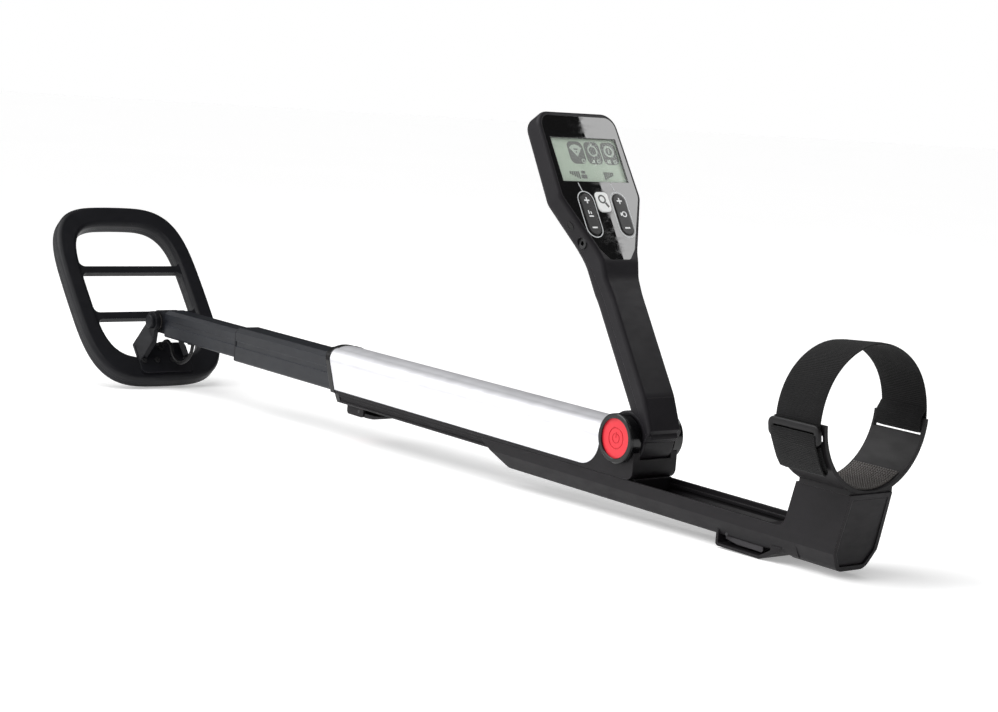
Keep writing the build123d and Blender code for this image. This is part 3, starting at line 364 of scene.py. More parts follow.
@dataclass(frozen=True)
class Finish:
    """A moulded, painted or machined surface.

    Attributes:
        name: the material's name.
        colour: its colour, linear.
        rough: its mean roughness.
        metal: 1 for bare or anodised metal.
        shine: the surface shader's specular level.
        coat: clear coat weight.
        grain: depth of the moulded or blasted texture, in metres.
        pitch: size of that texture, in metres.
        mottle: share by which the colour drifts.
        polish: how much a painted highlight lightens the edges, where light would catch them.
        edge: radius to which edges are rounded, in metres.
    """

    name: str
    colour: Colour
    rough: float = 0.5
    metal: float = 0.0
    shine: float = 0.5
    coat: float = 0.0
    grain: float = 0.00003
    pitch: float = 0.0005
    mottle: float = 0.12
    polish: float = 0.0
    edge: float = 0.0005

    def relief(self, tree: Tree, place: Wire) -> Wire:
        """The fine texture's height, 0 to 1."""
        return tree.noise(place, self.pitch, 2.0)

    def tint(self, tree: Tree, place: Wire) -> Wire:
        """The colour before the painted edge highlight is laid on."""
        drift = tree.noise(place, DRIFT_SIZE).over(0.3, 0.7)
        return tree.blend(drift, shade(self.colour, 1 - self.mottle),
                          shade(self.colour, 1 + self.mottle))

    def extra(self) -> dict[str, Any]:
        """Settings that only some finishes have."""
        return {}

    def make(self) -> bpy.types.Material:
        """Builds the material."""
        tree = Tree.empty(self.name)
        place = tree.place()
        normal = tree.rounded(self.edge)
        # The edge mask lowers the roughness as real wear and also carries the painted highlight
        # below.
        edge_wear_and_highlight = tree.edges(normal)
        colour = self.tint(tree, place)
        # Painted highlight: lighter colour along the rounded edges, standing in for light catching
        # them.
        if self.polish:
            colour = tree.blend(edge_wear_and_highlight * self.polish, colour, shade(self.colour, EDGE_HIGHLIGHT_LIFT))
        smear = tree.noise(tree.stretched(place, (1.0, 1.0, 2.5)), SMEAR_SIZE).over(0.25, 0.8)
        rough = self.rough + SMEAR_ROUGH * (smear - 0.5) - WORN_SMOOTH * edge_wear_and_highlight
        return tree.close({
            "Base Color": colour, "Roughness": rough, "Metallic": self.metal,
            "Specular IOR Level": self.shine, "Coat Weight": self.coat,
            "Coat Roughness": COAT_ROUGH,
            "Normal": tree.bump(self.relief(tree, place), self.grain, normal), **self.extra()})


@dataclass(frozen=True)
class Drawn(Finish):
    """Metal with faint lines along its length.

    Attributes:
        lines: how much the line noise is stretched along each axis.
    """

    lines: Colour = (0.04, 1.0, 1.0)

    def relief(self, tree: Tree, place: Wire) -> Wire:
        """Grain with drawn lines over it."""
        lines = tree.noise(tree.stretched(place, self.lines), 0.0009, 2.0)
        return 0.5 * tree.noise(place, self.pitch, 2.0) + 0.5 * lines


@dataclass(frozen=True)
class Wound(Finish):
    """Wire laid in turns, or a stack of turned rings.

    Attributes:
        turns: distance from one turn to the next, in metres.
    """

    turns: float = 0.0011

    def relief(self, tree: Tree, place: Wire) -> Wire:
        """Round turns with a little unevenness."""
        return tree.axis(place, "Z").wave(self.turns) * (0.8 + 0.2 * tree.noise(place, 0.004))


@dataclass(frozen=True)
class Board(Finish):
    """A lacquered circuit board with tracks.

    Attributes:
        cells: how many cells of the track pattern there are to a metre.
    """

    cells: float = 220.0

    def tint(self, tree: Tree, place: Wire) -> Wire:
        """Tracks and pads under green lacquer."""
        cells = tree.add("ShaderNodeTexVoronoi", {"feature": "DISTANCE_TO_EDGE"},
                         {"Vector": place, "Scale": self.cells}, out="Distance")
        return tree.blend(cells.over(0.02, 0.06), shade(self.colour, 2.4), self.colour)


@dataclass(frozen=True)
class Woven(Finish):
    """Ribbed webbing with its weave seen up close, laid out by its UVs in metres.

    Attributes:
        rib: spacing of the ribs along the webbing, in metres.
        warp: spacing of the warp threads across it, in metres.
    """

    rib: float = 0.0014
    warp: float = 0.0011

    def relief(self, tree: Tree, place: Wire) -> Wire:
        """Warp threads that cross the ribs one over, one under.

        Args:
            tree: the material's tree.
            place: the point in the piece's own space.

        Returns:
            The weave's height, 0 to 1.
        """
        laid = tree.add("ShaderNodeTexCoord", out="UV")
        across, along = tree.axis(laid, "X"), tree.axis(laid, "Y")
        over = across.wave(self.warp) * along.wave(self.rib)
        under = (across + self.warp / 2).wave(self.warp) * (along + self.rib / 2).wave(self.rib)
        return over.larger(under) * 0.85 + 0.15 * tree.noise(place, 0.0003)

    def tint(self, tree: Tree, place: Wire) -> Wire:
        """Thread colour, with painted shade in the gaps and a painted highlight on the crowns that
        dust varies.

        Args:
            tree: the material's tree.
            place: the point in the piece's own space.

        Returns:
            The colour.
        """
        weave = self.relief(tree, place)
        dust_and_sheen = tree.noise(place, 0.02).over(0.35, 0.75)
        # Painted shade in the weave's gaps and a painted highlight on its crowns, its strength
        # varied by dust.
        return tree.blend(weave * (0.55 + 0.45 * dust_and_sheen), shade(self.colour, 0.45),
                          shade(self.colour, 2.3))

    def extra(self) -> dict[str, Any]:
        """Soft fibre sheen."""
        return {"Sheen Weight": 0.12, "Sheen Roughness": 0.5}


@dataclass(frozen=True)
class Clear(Finish):
    """A thin clear window.

    Attributes:
        see_through: its alpha.
    """

    see_through: float = 0.05

    def extra(self) -> dict[str, Any]:
        """Mostly transparent."""
        return {"Alpha": self.see_through}


class Slot(Enum):
    """The record's material slots and the finish each one has here."""

    # Where a finish lightens its edges, that lightening is a painted highlight.
    body_plastic = Finish("moulded_body_black", (0.0085, 0.0075, 0.0088), 0.52, shine=0.2,
                          grain=0.00004, pitch=0.0007, polish=0.55, edge=0.0007)
    silver_aluminium = Drawn("blasted_silver", (0.80, 0.80, 0.83), 0.38, metal=0.55,
                             grain=0.000012, pitch=0.0004, mottle=0.02, edge=0.0006)
    gloss_black_plastic = Finish("gloss_black", (0.003, 0.003, 0.0035), 0.16, shine=0.3, coat=0.15,
                                 grain=0.000004, pitch=0.003, polish=0.6, edge=0.0006)
    screw_steel = Drawn("blackened_steel", (0.035, 0.035, 0.037), 0.36, metal=0.6, pitch=0.0003)
    spring_steel = Wound("drawn_spring", (0.5, 0.5, 0.52), 0.3, metal=1.0, turns=0.0006)
    red_plastic = Finish("coral_red", (0.72, 0.03, 0.045), 0.4, shine=0.35, grain=0.00001,
                         pitch=0.0006, mottle=0.05, edge=0.0004)
    black_aluminium = Drawn("satin_black_anodised", (0.0075, 0.0088, 0.0125), 0.36, metal=0.0,
                            shine=0.32, grain=0.00001, pitch=0.0004, polish=1.0, edge=0.0008)
    shaft_plastic = Finish("shaft_fitting_black", (0.0075, 0.008, 0.0105), 0.45, shine=0.22,
                           grain=0.00003, pitch=0.0006, polish=0.7)
    bush_plastic = Finish("bush_black", (0.03, 0.03, 0.033), 0.5, pitch=0.0008)
    cable_rubber = Finish("cable_jacket", (0.006, 0.006, 0.0065), 0.5, shine=0.25, pitch=0.0009)
    handle_plastic = Finish("handle_black", (0.0092, 0.0082, 0.0102), 0.46, shine=0.22,
                            grain=0.00004, pitch=0.0006, polish=0.6, edge=0.0008)
    cuff_plastic = Finish("cuff_black", (0.0088, 0.008, 0.0088), 0.5, shine=0.2,
                          grain=0.00004, pitch=0.0007, polish=0.5, edge=0.0006)
    pad_rubber = Finish("pad_rubber", (0.085, 0.078, 0.074), 0.5, shine=0.4, pitch=0.0005,
                        polish=0.6, edge=0.0003)
    webbing = Woven("ribbed_webbing", (0.0042, 0.0041, 0.0043), 0.86, shine=0.1,
                    grain=0.00022, mottle=0.0, edge=0.0003)
    buckle_plastic = Finish("buckle_black", (0.006, 0.0057, 0.0062), 0.42, shine=0.25,
                            pitch=0.0006, polish=0.5)
    latch_plastic = Finish("latch_grey", (0.045, 0.042, 0.047), 0.45, shine=0.3, pitch=0.0007,
                           polish=0.3)
    coil_plastic = Finish("coil_black", (0.0065, 0.0066, 0.0085), 0.45, shine=0.22,
                          grain=0.00004, pitch=0.0007, polish=0.7, edge=0.001)
    copper_winding = Wound("enamelled_copper", (0.72, 0.3, 0.12), 0.3, metal=1.0)
    panel_gloss = Finish("panel_gloss", (0.002, 0.002, 0.0022), 0.03, shine=0.9, coat=0.0,
                         grain=0.000001, pitch=0.02, mottle=0.02, edge=0.0003)
    clear_window = Clear("clear_window", (0.9, 0.92, 0.9), 0.04, shine=0.6, grain=0.000001,
                         pitch=0.02)
    lcd_glass = Finish("lcd_grey_green", (0.40, 0.49, 0.39), 0.3, shine=0.3, grain=0.000002,
                       pitch=0.0004, mottle=0.03, edge=0.0002)
    circuit_board = Board("lacquered_board", (0.012, 0.07, 0.03), 0.35)
    speaker_metal = Drawn("speaker_can", (0.35, 0.35, 0.36), 0.35, metal=1.0)
    key_rubber = Finish("key_black", (0.003, 0.003, 0.0033), 0.3, shine=0.3, grain=0.00001,
                        pitch=0.0008)
    white_key = Finish("key_white", (0.82, 0.83, 0.82), 0.35, shine=0.4, grain=0.000006,
                       pitch=0.0008, mottle=0.02, edge=0.0004)
    socket_plastic = Finish("socket_black", (0.01, 0.01, 0.011), 0.4, pitch=0.0006)
    battery_sleeve = Finish("cell_sleeve", (0.05, 0.12, 0.22), 0.3, coat=0.3, pitch=0.002)
    contact_metal = Drawn("plated_contact", (0.6, 0.58, 0.5), 0.3, metal=1.0)


class Ink(Enum):
    """Finishes of printed and shown marks, which are in no slot of the record."""

    white = Finish("print_white", (0.62, 0.64, 0.65), 0.4, pitch=0.0008, mottle=0.04,
                   grain=0.000003)
    bright = Finish("print_bright", (0.85, 0.86, 0.86), 0.4, pitch=0.0008, mottle=0.03,
                    grain=0.000003)
    black = Finish("print_black", (0.02, 0.02, 0.02), 0.4, pitch=0.0008, grain=0.000003)
    segment = Finish("lcd_segment", (0.07, 0.083, 0.07), 0.35, pitch=0.0008, mottle=0.04,
                     grain=0.000002, edge=0.0001)
    paper = Finish("lcd_open", (0.38, 0.45, 0.38), 0.35, pitch=0.0008, mottle=0.04,
                   grain=0.000002, edge=0.0001)


class Finishes:
    """Makes each material once."""

    def __init__(self) -> None:
        """Starts with none made."""
        self.made: dict[str, bpy.types.Material] = {}

    def of(self, finish: Finish) -> bpy.types.Material:
        """The finish's material."""
        if finish.name not in self.made:
            self.made[finish.name] = finish.make()
        return self.made[finish.name]

    def dress_frame(self, nodes: dict[str, bpy.types.Object], subparts: Iterable[dict]) -> int:
        """Gives every CAD node the finish of its slot.

        Args:
            nodes: the frame's nodes, by name.
            subparts: the record's list of nodes and their slots.

        Returns:
            How many nodes were dressed.
        """
        slots = {part["node"]: part["material_slot"] for part in subparts}
        for name, node in nodes.items():
            material = self.of(Slot[slots[name]].value)
            if not node.material_slots:
                node.data.materials.append(material)
            for place in node.material_slots:
                place.material = material
        return len(nodes)


# ------------------------------------------------------------------ mesh building

def arc(centre: Point2, radius: float, start: float, end: float, steps: int) -> list[Point2]:
    """Points round an arc, both ends included.

    Args:
        centre: the arc's centre.
        radius: its radius.
        start: angle of its first point, in degrees.
        end: angle of its last point.
        steps: how many steps there are between them.

    Returns:
        The points.
    """
    return [(centre[0] + radius * math.cos(math.radians(start + (end - start) * i / steps)),
             centre[1] + radius * math.sin(math.radians(start + (end - start) * i / steps)))
            for i in range(steps + 1)]


CORNER_STEPS = 6


def rounded_box(centre: Point2, width: float, height: float, corner: float) -> list[Point2]:
    """The outline of a rectangle with round corners.

    Args:
        centre: its centre.
        width: its full width.
        height: its full height.
        corner: radius of its corners.

    Returns:
        The points, anticlockwise.
    """
    w, h = width / 2 - corner, height / 2 - corner
    turns = ((w, h, 0), (-w, h, 90), (-w, -h, 180), (w, -h, 270))
    return [point for x, y, angle in turns
            for point in arc((centre[0] + x, centre[1] + y), corner, angle, angle + 90,
                             CORNER_STEPS)]


def bar(start: Point2, end: Point2, width: float) -> list[Point2]:
    """The outline of a straight stroke with square ends.

    Args:
        start: one end of its middle line.
        end: the other end.
        width: its width.

    Returns:
        Its four corners.
    """
    x, y = end[0] - start[0], end[1] - start[1]
    scale = width / 2 / math.hypot(x, y)
    return [(start[0] + y * scale, start[1] - x * scale), (end[0] + y * scale, end[1] - x * scale),
            (end[0] - y * scale, end[1] + x * scale), (start[0] - y * scale, start[1] + x * scale)]


@dataclass
class Shape:
    """A mesh in the making.

    Attributes:
        points: its points, in metres.
        faces: its faces, as numbers of points.
        laid: the UV of each point, 0, 0 where it has none.
    """

    points: list[Vector] = field(default_factory=list)
    faces: list[tuple[int, ...]] = field(default_factory=list)
    laid: list[Point2] = field(default_factory=list)

    def lattice(self, rows: Sequence[Sequence[Vector]], loop: bool = False, ring: bool = False,
                laid: Sequence[Sequence[Point2]] | None = None, caps: bool = False) -> None:
        """Adds a net of quads.

        Args:
            rows: rows of points, all of one length.
            loop: whether each row closes on itself.
            ring: whether the last row joins the first.
            laid: the points' UVs, in the same rows.
            caps: whether a looped net's two ends are filled.
        """
        base, n, m = len(self.points), len(rows), len(rows[0])
        self.points += [point for row in rows for point in row]
        self.laid += [uv for row in laid for uv in row] if laid else [(0.0, 0.0)] * (n * m)
        for i in range(n if ring else n - 1):
            for j in range(m if loop else m - 1):
                a, b = i * m, (i + 1) % n * m
                self.faces.append((base + a + j, base + a + (j + 1) % m,
                                   base + b + (j + 1) % m, base + b + j))
        if caps:
            self.faces.append(tuple(base + j for j in reversed(range(m))))
            self.faces.append(tuple(base + (n - 1) * m + j for j in range(m)))

    def plate(self, outline: Sequence[Point2], put: Callable[[float, float, float], Vector],
              low: float, high: float) -> None:
        """Adds a flat plate.

        Args:
            outline: its outline, anticlockwise.
            put: turns x, y and a level into a row-frame point.
            low: level of its underside.
            high: level of its face.
        """
        self.lattice([[put(x, y, level) for x, y in outline] for level in (low, high)],
                     loop=True, caps=True)

    def hoop(self, outer: Sequence[Point2], inner: Sequence[Point2],
             put: Callable[[float, float, float], Vector], low: float, high: float) -> None:
        """Adds a flat ring between two outlines of as many points each.

        Args:
            outer: the outline round it.
            inner: the outline of its hole.
            put: turns x, y and a level into a row-frame point.
            low: level of its underside.
            high: level of its face.
        """
        walls = ((outer, low), (outer, high), (inner, high), (inner, low))
        self.lattice([[put(x, y, level) for x, y in line] for line, level in walls],
                     loop=True, ring=True)

    def piece(self, name: str, material: bpy.types.Material,
              crease: float = 35) -> bpy.types.Object:
        """Makes the object.

        Args:
            name: the piece's name.
            material: its finish.
            crease: angle in degrees above which an edge stays sharp.

        Returns:
            The object, linked to the scene.
        """
        mesh = bpy.data.meshes.new(name)
        mesh.from_pydata(self.points, [], self.faces)
        layer = mesh.uv_layers.new(name="laid_out")
        for loop in mesh.loops:
            layer.data[loop.index].uv = self.laid[loop.vertex_index]
        mesh.validate()
        mesh.shade_smooth()
        mesh.set_sharp_from_angle(angle=math.radians(crease))
        mesh.materials.append(material)
        piece = bpy.data.objects.new(name, mesh)
        bpy.context.scene.collection.objects.link(piece)
        return piece


# ------------------------------------------------------------------ arm rest

@dataclass
class Webbing:
    """Ribbed webbing along a line across the detector.

    Attributes:
        width: its width, in mm.
        thick: its thickness, in mm.
        rib: spacing of its ribs along its length, in mm.
        rise: height of a rib, in mm.
        per_rib: rows of points to a rib.
        across: points across each face.
        middle: place of its middle line along the shaft, in mm.
    """

    width: float = 40.0
    thick: float = 1.55
    rib: float = 1.4
    rise: float = 0.16
    per_rib: int = 4
    across: int = 9
    middle: float = 206.0

    def spaced(self, line: Sequence[Point2]) -> tuple[list[Point2], float]:
        """Resamples a line evenly, so many rows to a rib.

        Args:
            line: the y, z points of the line, close together.

        Returns:
            The even points and the line's length.
        """
        steps = [math.dist(a, b) for a, b in zip(line, line[1:])]
        total = sum(steps)
        count = int(total / self.rib * self.per_rib)
        found, i, gone = [], 0, 0.0
        for k in range(count + 1):
            want = total * k / count
            while i < len(steps) - 1 and gone + steps[i] < want:
                gone += steps[i]
                i += 1
            share = (want - gone) / steps[i]
            found.append(tuple(a + (b - a) * share for a, b in zip(line[i], line[i + 1])))
        return found, total

    def weave(self, shape: Shape, axes: Axes, line: Sequence[Point2],
              lean: Callable[[float, Point2], Point2] = lambda share, point: point) -> float:
        """Adds the webbing along a line.

        Args:
            shape: the mesh it is added to.
            axes: the shaft's frame.
            line: its middle line, as y, z points close together.
            lean: moves a y, z point by where it is across the width, from -1 to 1.

        Returns:
            Its length, in mm.
        """
        line, total = self.spaced(line)
        rows, laid = [], []
        for k, point in enumerate(line):
            before, after = line[max(k - 1, 0)], line[min(k + 1, len(line) - 1)]
            dy, dz = after[0] - before[0], after[1] - before[1]
            out = (-dz / math.hypot(dy, dz), dy / math.hypot(dy, dz))
            wave = self.rise * math.cos(2 * math.pi * k / self.per_rib)
            row, uvs = [], []
            for face in (1, -1):
                for j in range(self.across):
                    share = face * (1 - 2 * j / (self.across - 1))
                    edge = 0.55 if j in (0, self.across - 1) else 1.0
                    off = face * (self.thick / 2 * edge + wave * edge)
                    y, z = lean(share, (point[0] + out[0] * off, point[1] + out[1] * off))
                    row.append(axes.at(self.middle + share * self.width / 2, y, z))
                    uvs.append((share * self.width / 2 * MM, total * k / (len(line) - 1) * MM))
            rows.append(row)
            laid.append(uvs)
        shape.lattice(rows, loop=True, laid=laid, caps=True)
        return total


@dataclass
class ArmRest:
    """The soft and ribbed pieces on the forearm rest.

    Attributes:
        axes: the shaft's frame.
        finishes: the materials.
        hoop: mean radius of the strap's hoop, in mm.
        hoop_up: height of the hoop's centre.
        hoop_start: angle where the hoop leaves the buckle, in degrees.
        hoop_sweep: angle that it goes round.
        hoop_steps: steps along it.
        cuff: inner radius of the trough.
        cuff_up: height of the trough's centre.
        wing: thickness of the trough's wall.
        slot_top: height of the top of the strap slots.
        tail_down: the free end's way down, as angles and distances out from the wing.
        tail_back: its way back up under itself.
        buckle_size: the buckle's length along the shaft and its height.
        buckle_bar: half the width and half the depth of its frame.
        mat_turn: angles at which the mat starts and ends.
        mat_ends: places of its two ends along the shaft.
        mat_tiles: how many raised squares there are round it and along it.
        webbing: the strap's webbing.
    """

    axes: Axes
    finishes: Finishes
    hoop: float = 52.3
    hoop_up: float = 50.8
    hoop_start: float = 189.0
    hoop_sweep: float = 192.0
    hoop_steps: int = 120
    cuff: float = 48.2
    cuff_up: float = 53.6
    wing: float = 3.0
    slot_top: float = 45.0
    tail_down: tuple[Point2, ...] = (
        (198.5, 5.9), (201, 5.6), (204, 5.5), (208, 5.5), (212, 5.6), (215, 5.5))
    tail_back: tuple[Point2, ...] = (
        (215, 1.4), (211, 1.3), (207, 1.4), (203, 1.5), (200, 1.6), (198.5, 1.6))
    buckle_size: Point2 = (47.0, 14.6)
    buckle_bar: Point2 = (2.7, 1.75)
    mat_turn: Point2 = (-128.0, -52.0)
    mat_ends: Point2 = (186.0, 226.0)
    mat_tiles: tuple[int, int] = (28, 18)
    webbing: Webbing = field(default_factory=Webbing)

    def round_cuff(self, radius: float, start: float, end: float, steps: int) -> list[Point2]:
        """Points round the trough's centre."""
        return arc((0.0, self.cuff_up), radius, start, end, steps)

    def strap(self) -> bpy.types.Object:
        """The strap over the forearm: up from the buckle, over, and round the right slot's bar.

        Returns:
            The piece.
        """
        line = []
        for i in range(self.hoop_steps + 1):
            angle = math.radians(self.hoop_start - i * self.hoop_sweep / self.hoop_steps)
            swell = 0.7 * math.sin(3 * angle + 0.6) + 0.35 * math.sin(5 * angle)
            radius = self.hoop + swell * math.sin(math.pi * i / self.hoop_steps) ** 2
            line.append((radius * math.cos(angle), self.hoop_up + radius * math.sin(angle)))
        bar_y = self.cuff + self.wing / 2
        turn = self.wing / 2 + self.webbing.thick / 2 + 0.25
        line += [(bar_y + turn, self.slot_top + 1.0)]
        line += arc((bar_y - 0.3, self.slot_top - 0.2), turn, 0, -180, 14)
        line += [(bar_y - turn - 0.2, self.slot_top + z) for z in (1.5, 3, 4.5, 6, 7.3)]
        line += [(bar_y - turn + y, self.slot_top + z)
                 for y, z in ((0.9, 9.0), (2.4, 11.0), (3.8, 13.4))]

        def lean(share: float, point: Point2) -> Point2:
            """Lifts the rear edge of the hoop's top and drops its front edge."""
            rise = max(0.0, (point[1] - self.hoop_up - 8) / self.hoop)
            return point[0], point[1] + 1.9 * share * rise

        shape = Shape()
        length = self.webbing.weave(shape, self.axes, line, lean)
        piece = shape.piece("forearm_strap", self.finishes.of(Slot.webbing.value), 60)
        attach(piece, "arm_rest")
        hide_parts("arm_strap")
        length * MM
        LOG.info("strap is %.0f mm long", length)
        return piece

    def tail(self) -> bpy.types.Object:
        """The strap's free end: out over the buckle's bar, down and folded back on itself.

        Returns:
            The piece.
        """
        outer = self.cuff + self.wing
        line = [(-outer - 3.6 - i * 0.35, self.cuff_up - 9.4 + 0.12 * i) for i in range(6)]
        line += self.round_cuff(outer + 6.2, 190.4, 196.5, 6)
        line += [self.round_cuff(outer + radius, angle, angle, 1)[0]
                 for angle, radius in self.tail_down]
        end = self.round_cuff(outer + 3.5, 218.2, 218.2, 1)[0]
        fold = 2.0
        line += [(end[0] + fold * math.cos(a), end[1] + fold * math.sin(a))
                 for a in map(math.radians, range(205, 391, 15))]
        line += [self.round_cuff(outer + radius, angle, angle, 1)[0]
                 for angle, radius in self.tail_back]
        shape = Shape()
        length = self.webbing.weave(shape, self.axes, line)
        piece = shape.piece("strap_free_end", self.finishes.of(Slot.webbing.value), 60)
        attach(piece, "arm_rest")
        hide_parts("strap_tail")
        length * MM
        LOG.info("free end is %.0f mm long", length)
        return piece

    def buckle(self) -> bpy.types.Object:
        """The buckle: a rounded frame bent to the wing, with the strap under it.

        Returns:
            The piece.
        """
        (long, high), (wide, tall) = self.buckle_size, self.buckle_bar
        outer, middle, sides, squareness = self.cuff + self.wing + 4.3, 189.3, 16, 0.6
        path = rounded_box((0.0, 0.0), long - 2 * wide, high - 2 * wide, 2.6)
        rows = []
        for i, (x, s) in enumerate(path):
            (ax, as_), (bx, bs) = path[i - 1], path[(i + 1) % len(path)]
            run = math.hypot(bx - ax, bs - as_) or 1.0
            out = ((bs - as_) / run, (ax - bx) / run)
            row = []
            for k in range(sides):
                a = 2 * math.pi * k / sides
                c = math.copysign(abs(math.cos(a)) ** squareness, math.cos(a)) * wide
                d = math.copysign(abs(math.sin(a)) ** squareness, math.sin(a)) * tall
                angle = middle - math.degrees((s + out[1] * c) / outer)
                y, z = self.round_cuff(outer + d, angle, angle, 1)[0]
                row.append(self.axes.at(self.webbing.middle + x + out[0] * c, y, z))
            rows.append(row)
        shape = Shape()
        shape.lattice(rows, loop=True, ring=True)
        piece = shape.piece("buckle_frame", self.finishes.of(Slot.buckle_plastic.value), 60)
        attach(piece, "arm_rest")
        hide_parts("strap_buckle")
        return piece

    def skirt(self) -> bpy.types.Object:
        """The foot that joins the trough to the carriage's top, as wide as the carriage.

        Returns:
            The piece.
        """
        half, low, radius = 21.3, 3.3, self.cuff + self.wing - 0.1
        side = math.degrees(math.acos(half / radius))
        line = [(-half, low), (half, low)] + self.round_cuff(radius, -side, side - 180, 16)
        shape = Shape()
        shape.lattice([[self.axes.at(x, y, z) for y, z in line] for x in (183.2, 206.0, 228.8)],
                      loop=True, caps=True)
        piece = shape.piece("cuff_foot", self.finishes.of(Slot.cuff_plastic.value))
        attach(piece, "arm_rest")
        return piece

    def pad(self) -> bpy.types.Object:
        """A rubber mat in the trough with a grid of raised squares.

        Returns:
            The piece.
        """
        low, high = self.cuff - 0.05, self.cuff - 0.95
        (start, end), (front, rear), (round_it, along_it) = (
            self.mat_turn, self.mat_ends, self.mat_tiles)
        shape = Shape()

        def put(across: float, along: float, radius: float) -> Vector:
            """A point of the mat by its angle, place along the shaft and radius."""
            y, z = arc((0.0, self.cuff_up), radius, across, across, 1)[0]
            return self.axes.at(along, y, z)

        count = 36
        shape.lattice([[put(start + (end - start) * i / count, x, r) for x, r in (
            (front, low), (rear, low), (rear, high + 0.1), (rear - 0.4, high), (front + 0.4, high),
            (front, high + 0.1))] for i in range(count + 1)], loop=True, caps=True)
        wide, long = (end - start) / round_it, (rear - front) / along_it
        for i in range(round_it):
            for j in range(along_it):
                a, x = start + wide * i, front + long * j
                foot, top = (
                    [(a + wide * p, x + long * q)
                     for p, q in ((near, near), (far, near), (far, far), (near, far))]
                    for near, far in ((0.12, 0.88), (0.24, 0.76)))
                shape.lattice([[put(p, q, high + 0.02) for p, q in foot],
                               [put(p, q, high - 0.75) for p, q in top]], loop=True, caps=True)
        piece = shape.piece("cuff_grip_mat", self.finishes.of(Slot.pad_rubber.value), 25)
        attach(piece, "arm_rest")
        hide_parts("cuff_pad")
        return piece


# ------------------------------------------------------------------ hinge

@dataclass
class Hinge:
    """Trim round the handle's hinge, and the handle's small side port.

    Attributes:
        frames: the detector's frames.
        finishes: the materials.
        nodes: the frame's CAD nodes, by name.
        rim: outer radius of the ring round the release button, in mm.
        mouth: its inner radius.
        proud: how far out its face stands from the shaft's middle.
        sides: how many sides the ring has.
        cover_top: place of the back cover's top along the handle.
        cover_half: half its width.
        cover_lift: how far it stands off the shell.
        port_rise: how far the side port is above the headphone socket.
        port: half the side port's width and half its height.
    """

    frames: Frames
    finishes: Finishes
    nodes: dict[str, bpy.types.Object]
    rim: float = 18.8
    mouth: float = 15.0
    proud: float = 27.4
    sides: int = 72
    cover_top: float = 19.0
    cover_half: float = 12.9
    cover_lift: float = 0.14
    port_rise: float = 14.5
    port: Point2 = (2.6, 3.6)

    def button_surround(self) -> bpy.types.Object:
        """A glossy lip in front of the red button's rim.

        Returns:
            The piece.
        """
        lip = ((self.rim, 25.7), (self.rim, self.proud - 0.7), (self.rim - 0.7, self.proud),
               (self.mouth + 0.5, self.proud), (self.mouth, self.proud - 0.4),
               (self.mouth + 0.2, 26.5), (self.mouth + 1.4, 26.4), (self.mouth + 1.6, 25.7))
        rows = [[self.frames.shaft.at(r * math.cos(a), -y, r * math.sin(a)) for r, y in lip]
                for a in (2 * math.pi * k / self.sides for k in range(self.sides))]
        shape = Shape()
        shape.lattice(rows, loop=True, ring=True)
        piece = shape.piece("button_surround", self.finishes.of(Slot.gloss_black_plastic.value), 30)
        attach(piece, "main_body")
        return piece

    def hit(self, names: Sequence[str], start: Vector, way: Vector) -> tuple[Vector, Vector] | None:
        """Where a ray first meets some of the CAD nodes.

        Args:
            names: the nodes.
            start: where the ray starts, in the row frame.
            way: its direction.

        Returns:
            The nearest point and the surface's direction there, or None.
        """
        found = []
        for name in names:
            struck, point, normal, _ = self.nodes[name].ray_cast(start, way)
            if struck:
                found.append(((point - start).length, point, normal))
        return min(found, key=lambda item: item[0])[1:] if found else None

    def back_cover(self) -> bpy.types.Object:
        """A flush cover over the pocket at the back of the handle's foot.

        It follows the shell's wall beside the pocket, and runs on past its lower end.

        Returns:
            The piece.
        """
        handle, levels = self.frames.handle, []
        beside, outside, lowest = 13.2, 60, 24
        for step in range(60):
            g = self.cover_top - step * 0.5
            struck = self.hit(["handle_rear_shell"], handle.at(outside, beside, g), -handle.ahead)
            if struck is None:
                break
            level = (struck[0] - handle.origin).dot(handle.ahead) / MM
            if level < lowest:
                break
            levels.append((g, level))
        g, level = levels[-1]
        levels += [(g - drop, level - 0.16 * drop - 0.05 * drop * drop)
                   for drop in (0.7, 1.4, 2.2, 3.0, 3.8)]
        half = self.cover_half
        outline = [(y, self.cover_lift) for y in (-half, -8.0, 0.0, 8.0, half)]
        outline += [(half, -1.0), (-half, -1.0)]
        shape = Shape()
        shape.lattice([[handle.at(level + lift, y, g) for y, lift in outline]
                       for g, level in levels], loop=True, caps=True)
        piece = shape.piece("hinge_back_cover", self.finishes.of(Slot.handle_plastic.value))
        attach(piece, "handle")
        LOG.info("back cover runs from %.1f to %.1f", levels[0][0], levels[-1][0])
        return piece

    def side_port(self) -> bpy.types.Object:
        """An oval port on the slope above the headphone socket.

        Returns:
            The piece.
        """
        handle = self.frames.handle
        low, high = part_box("headphone_socket")
        socket = (low + high) / 2 - handle.origin
        n, g = socket.dot(handle.ahead) / MM, socket.dot(handle.up) / MM + self.port_rise
        point, out = self.hit(["handle_front_shell", "handle_rear_shell"],
                              handle.at(n, -90, g), handle.side)
        along = (handle.up - out * handle.up.dot(out)).normalized()
        across = along.cross(out)

        def put(x: float, y: float, level: float) -> Vector:
            """A point of the port by its place on the wall and its height off it."""
            return point + (across * x + along * y + out * level) * MM

        oval = [(self.port[0] * math.cos(a), self.port[1] * math.sin(a))
                for a in (2 * math.pi * k / 32 for k in range(32))]
        shape = Shape()
        shape.hoop(oval, [(x * 0.84, y * 0.88) for x, y in oval], put, -0.4, 0.35)
        shape.plate([(x * 0.86, y * 0.9) for x, y in oval], put, -0.4, 0.03)
        piece = shape.piece("side_port", self.finishes.of(Slot.key_rubber.value))
        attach(piece, "handle")
        return piece


# ------------------------------------------------------------------ coil cable

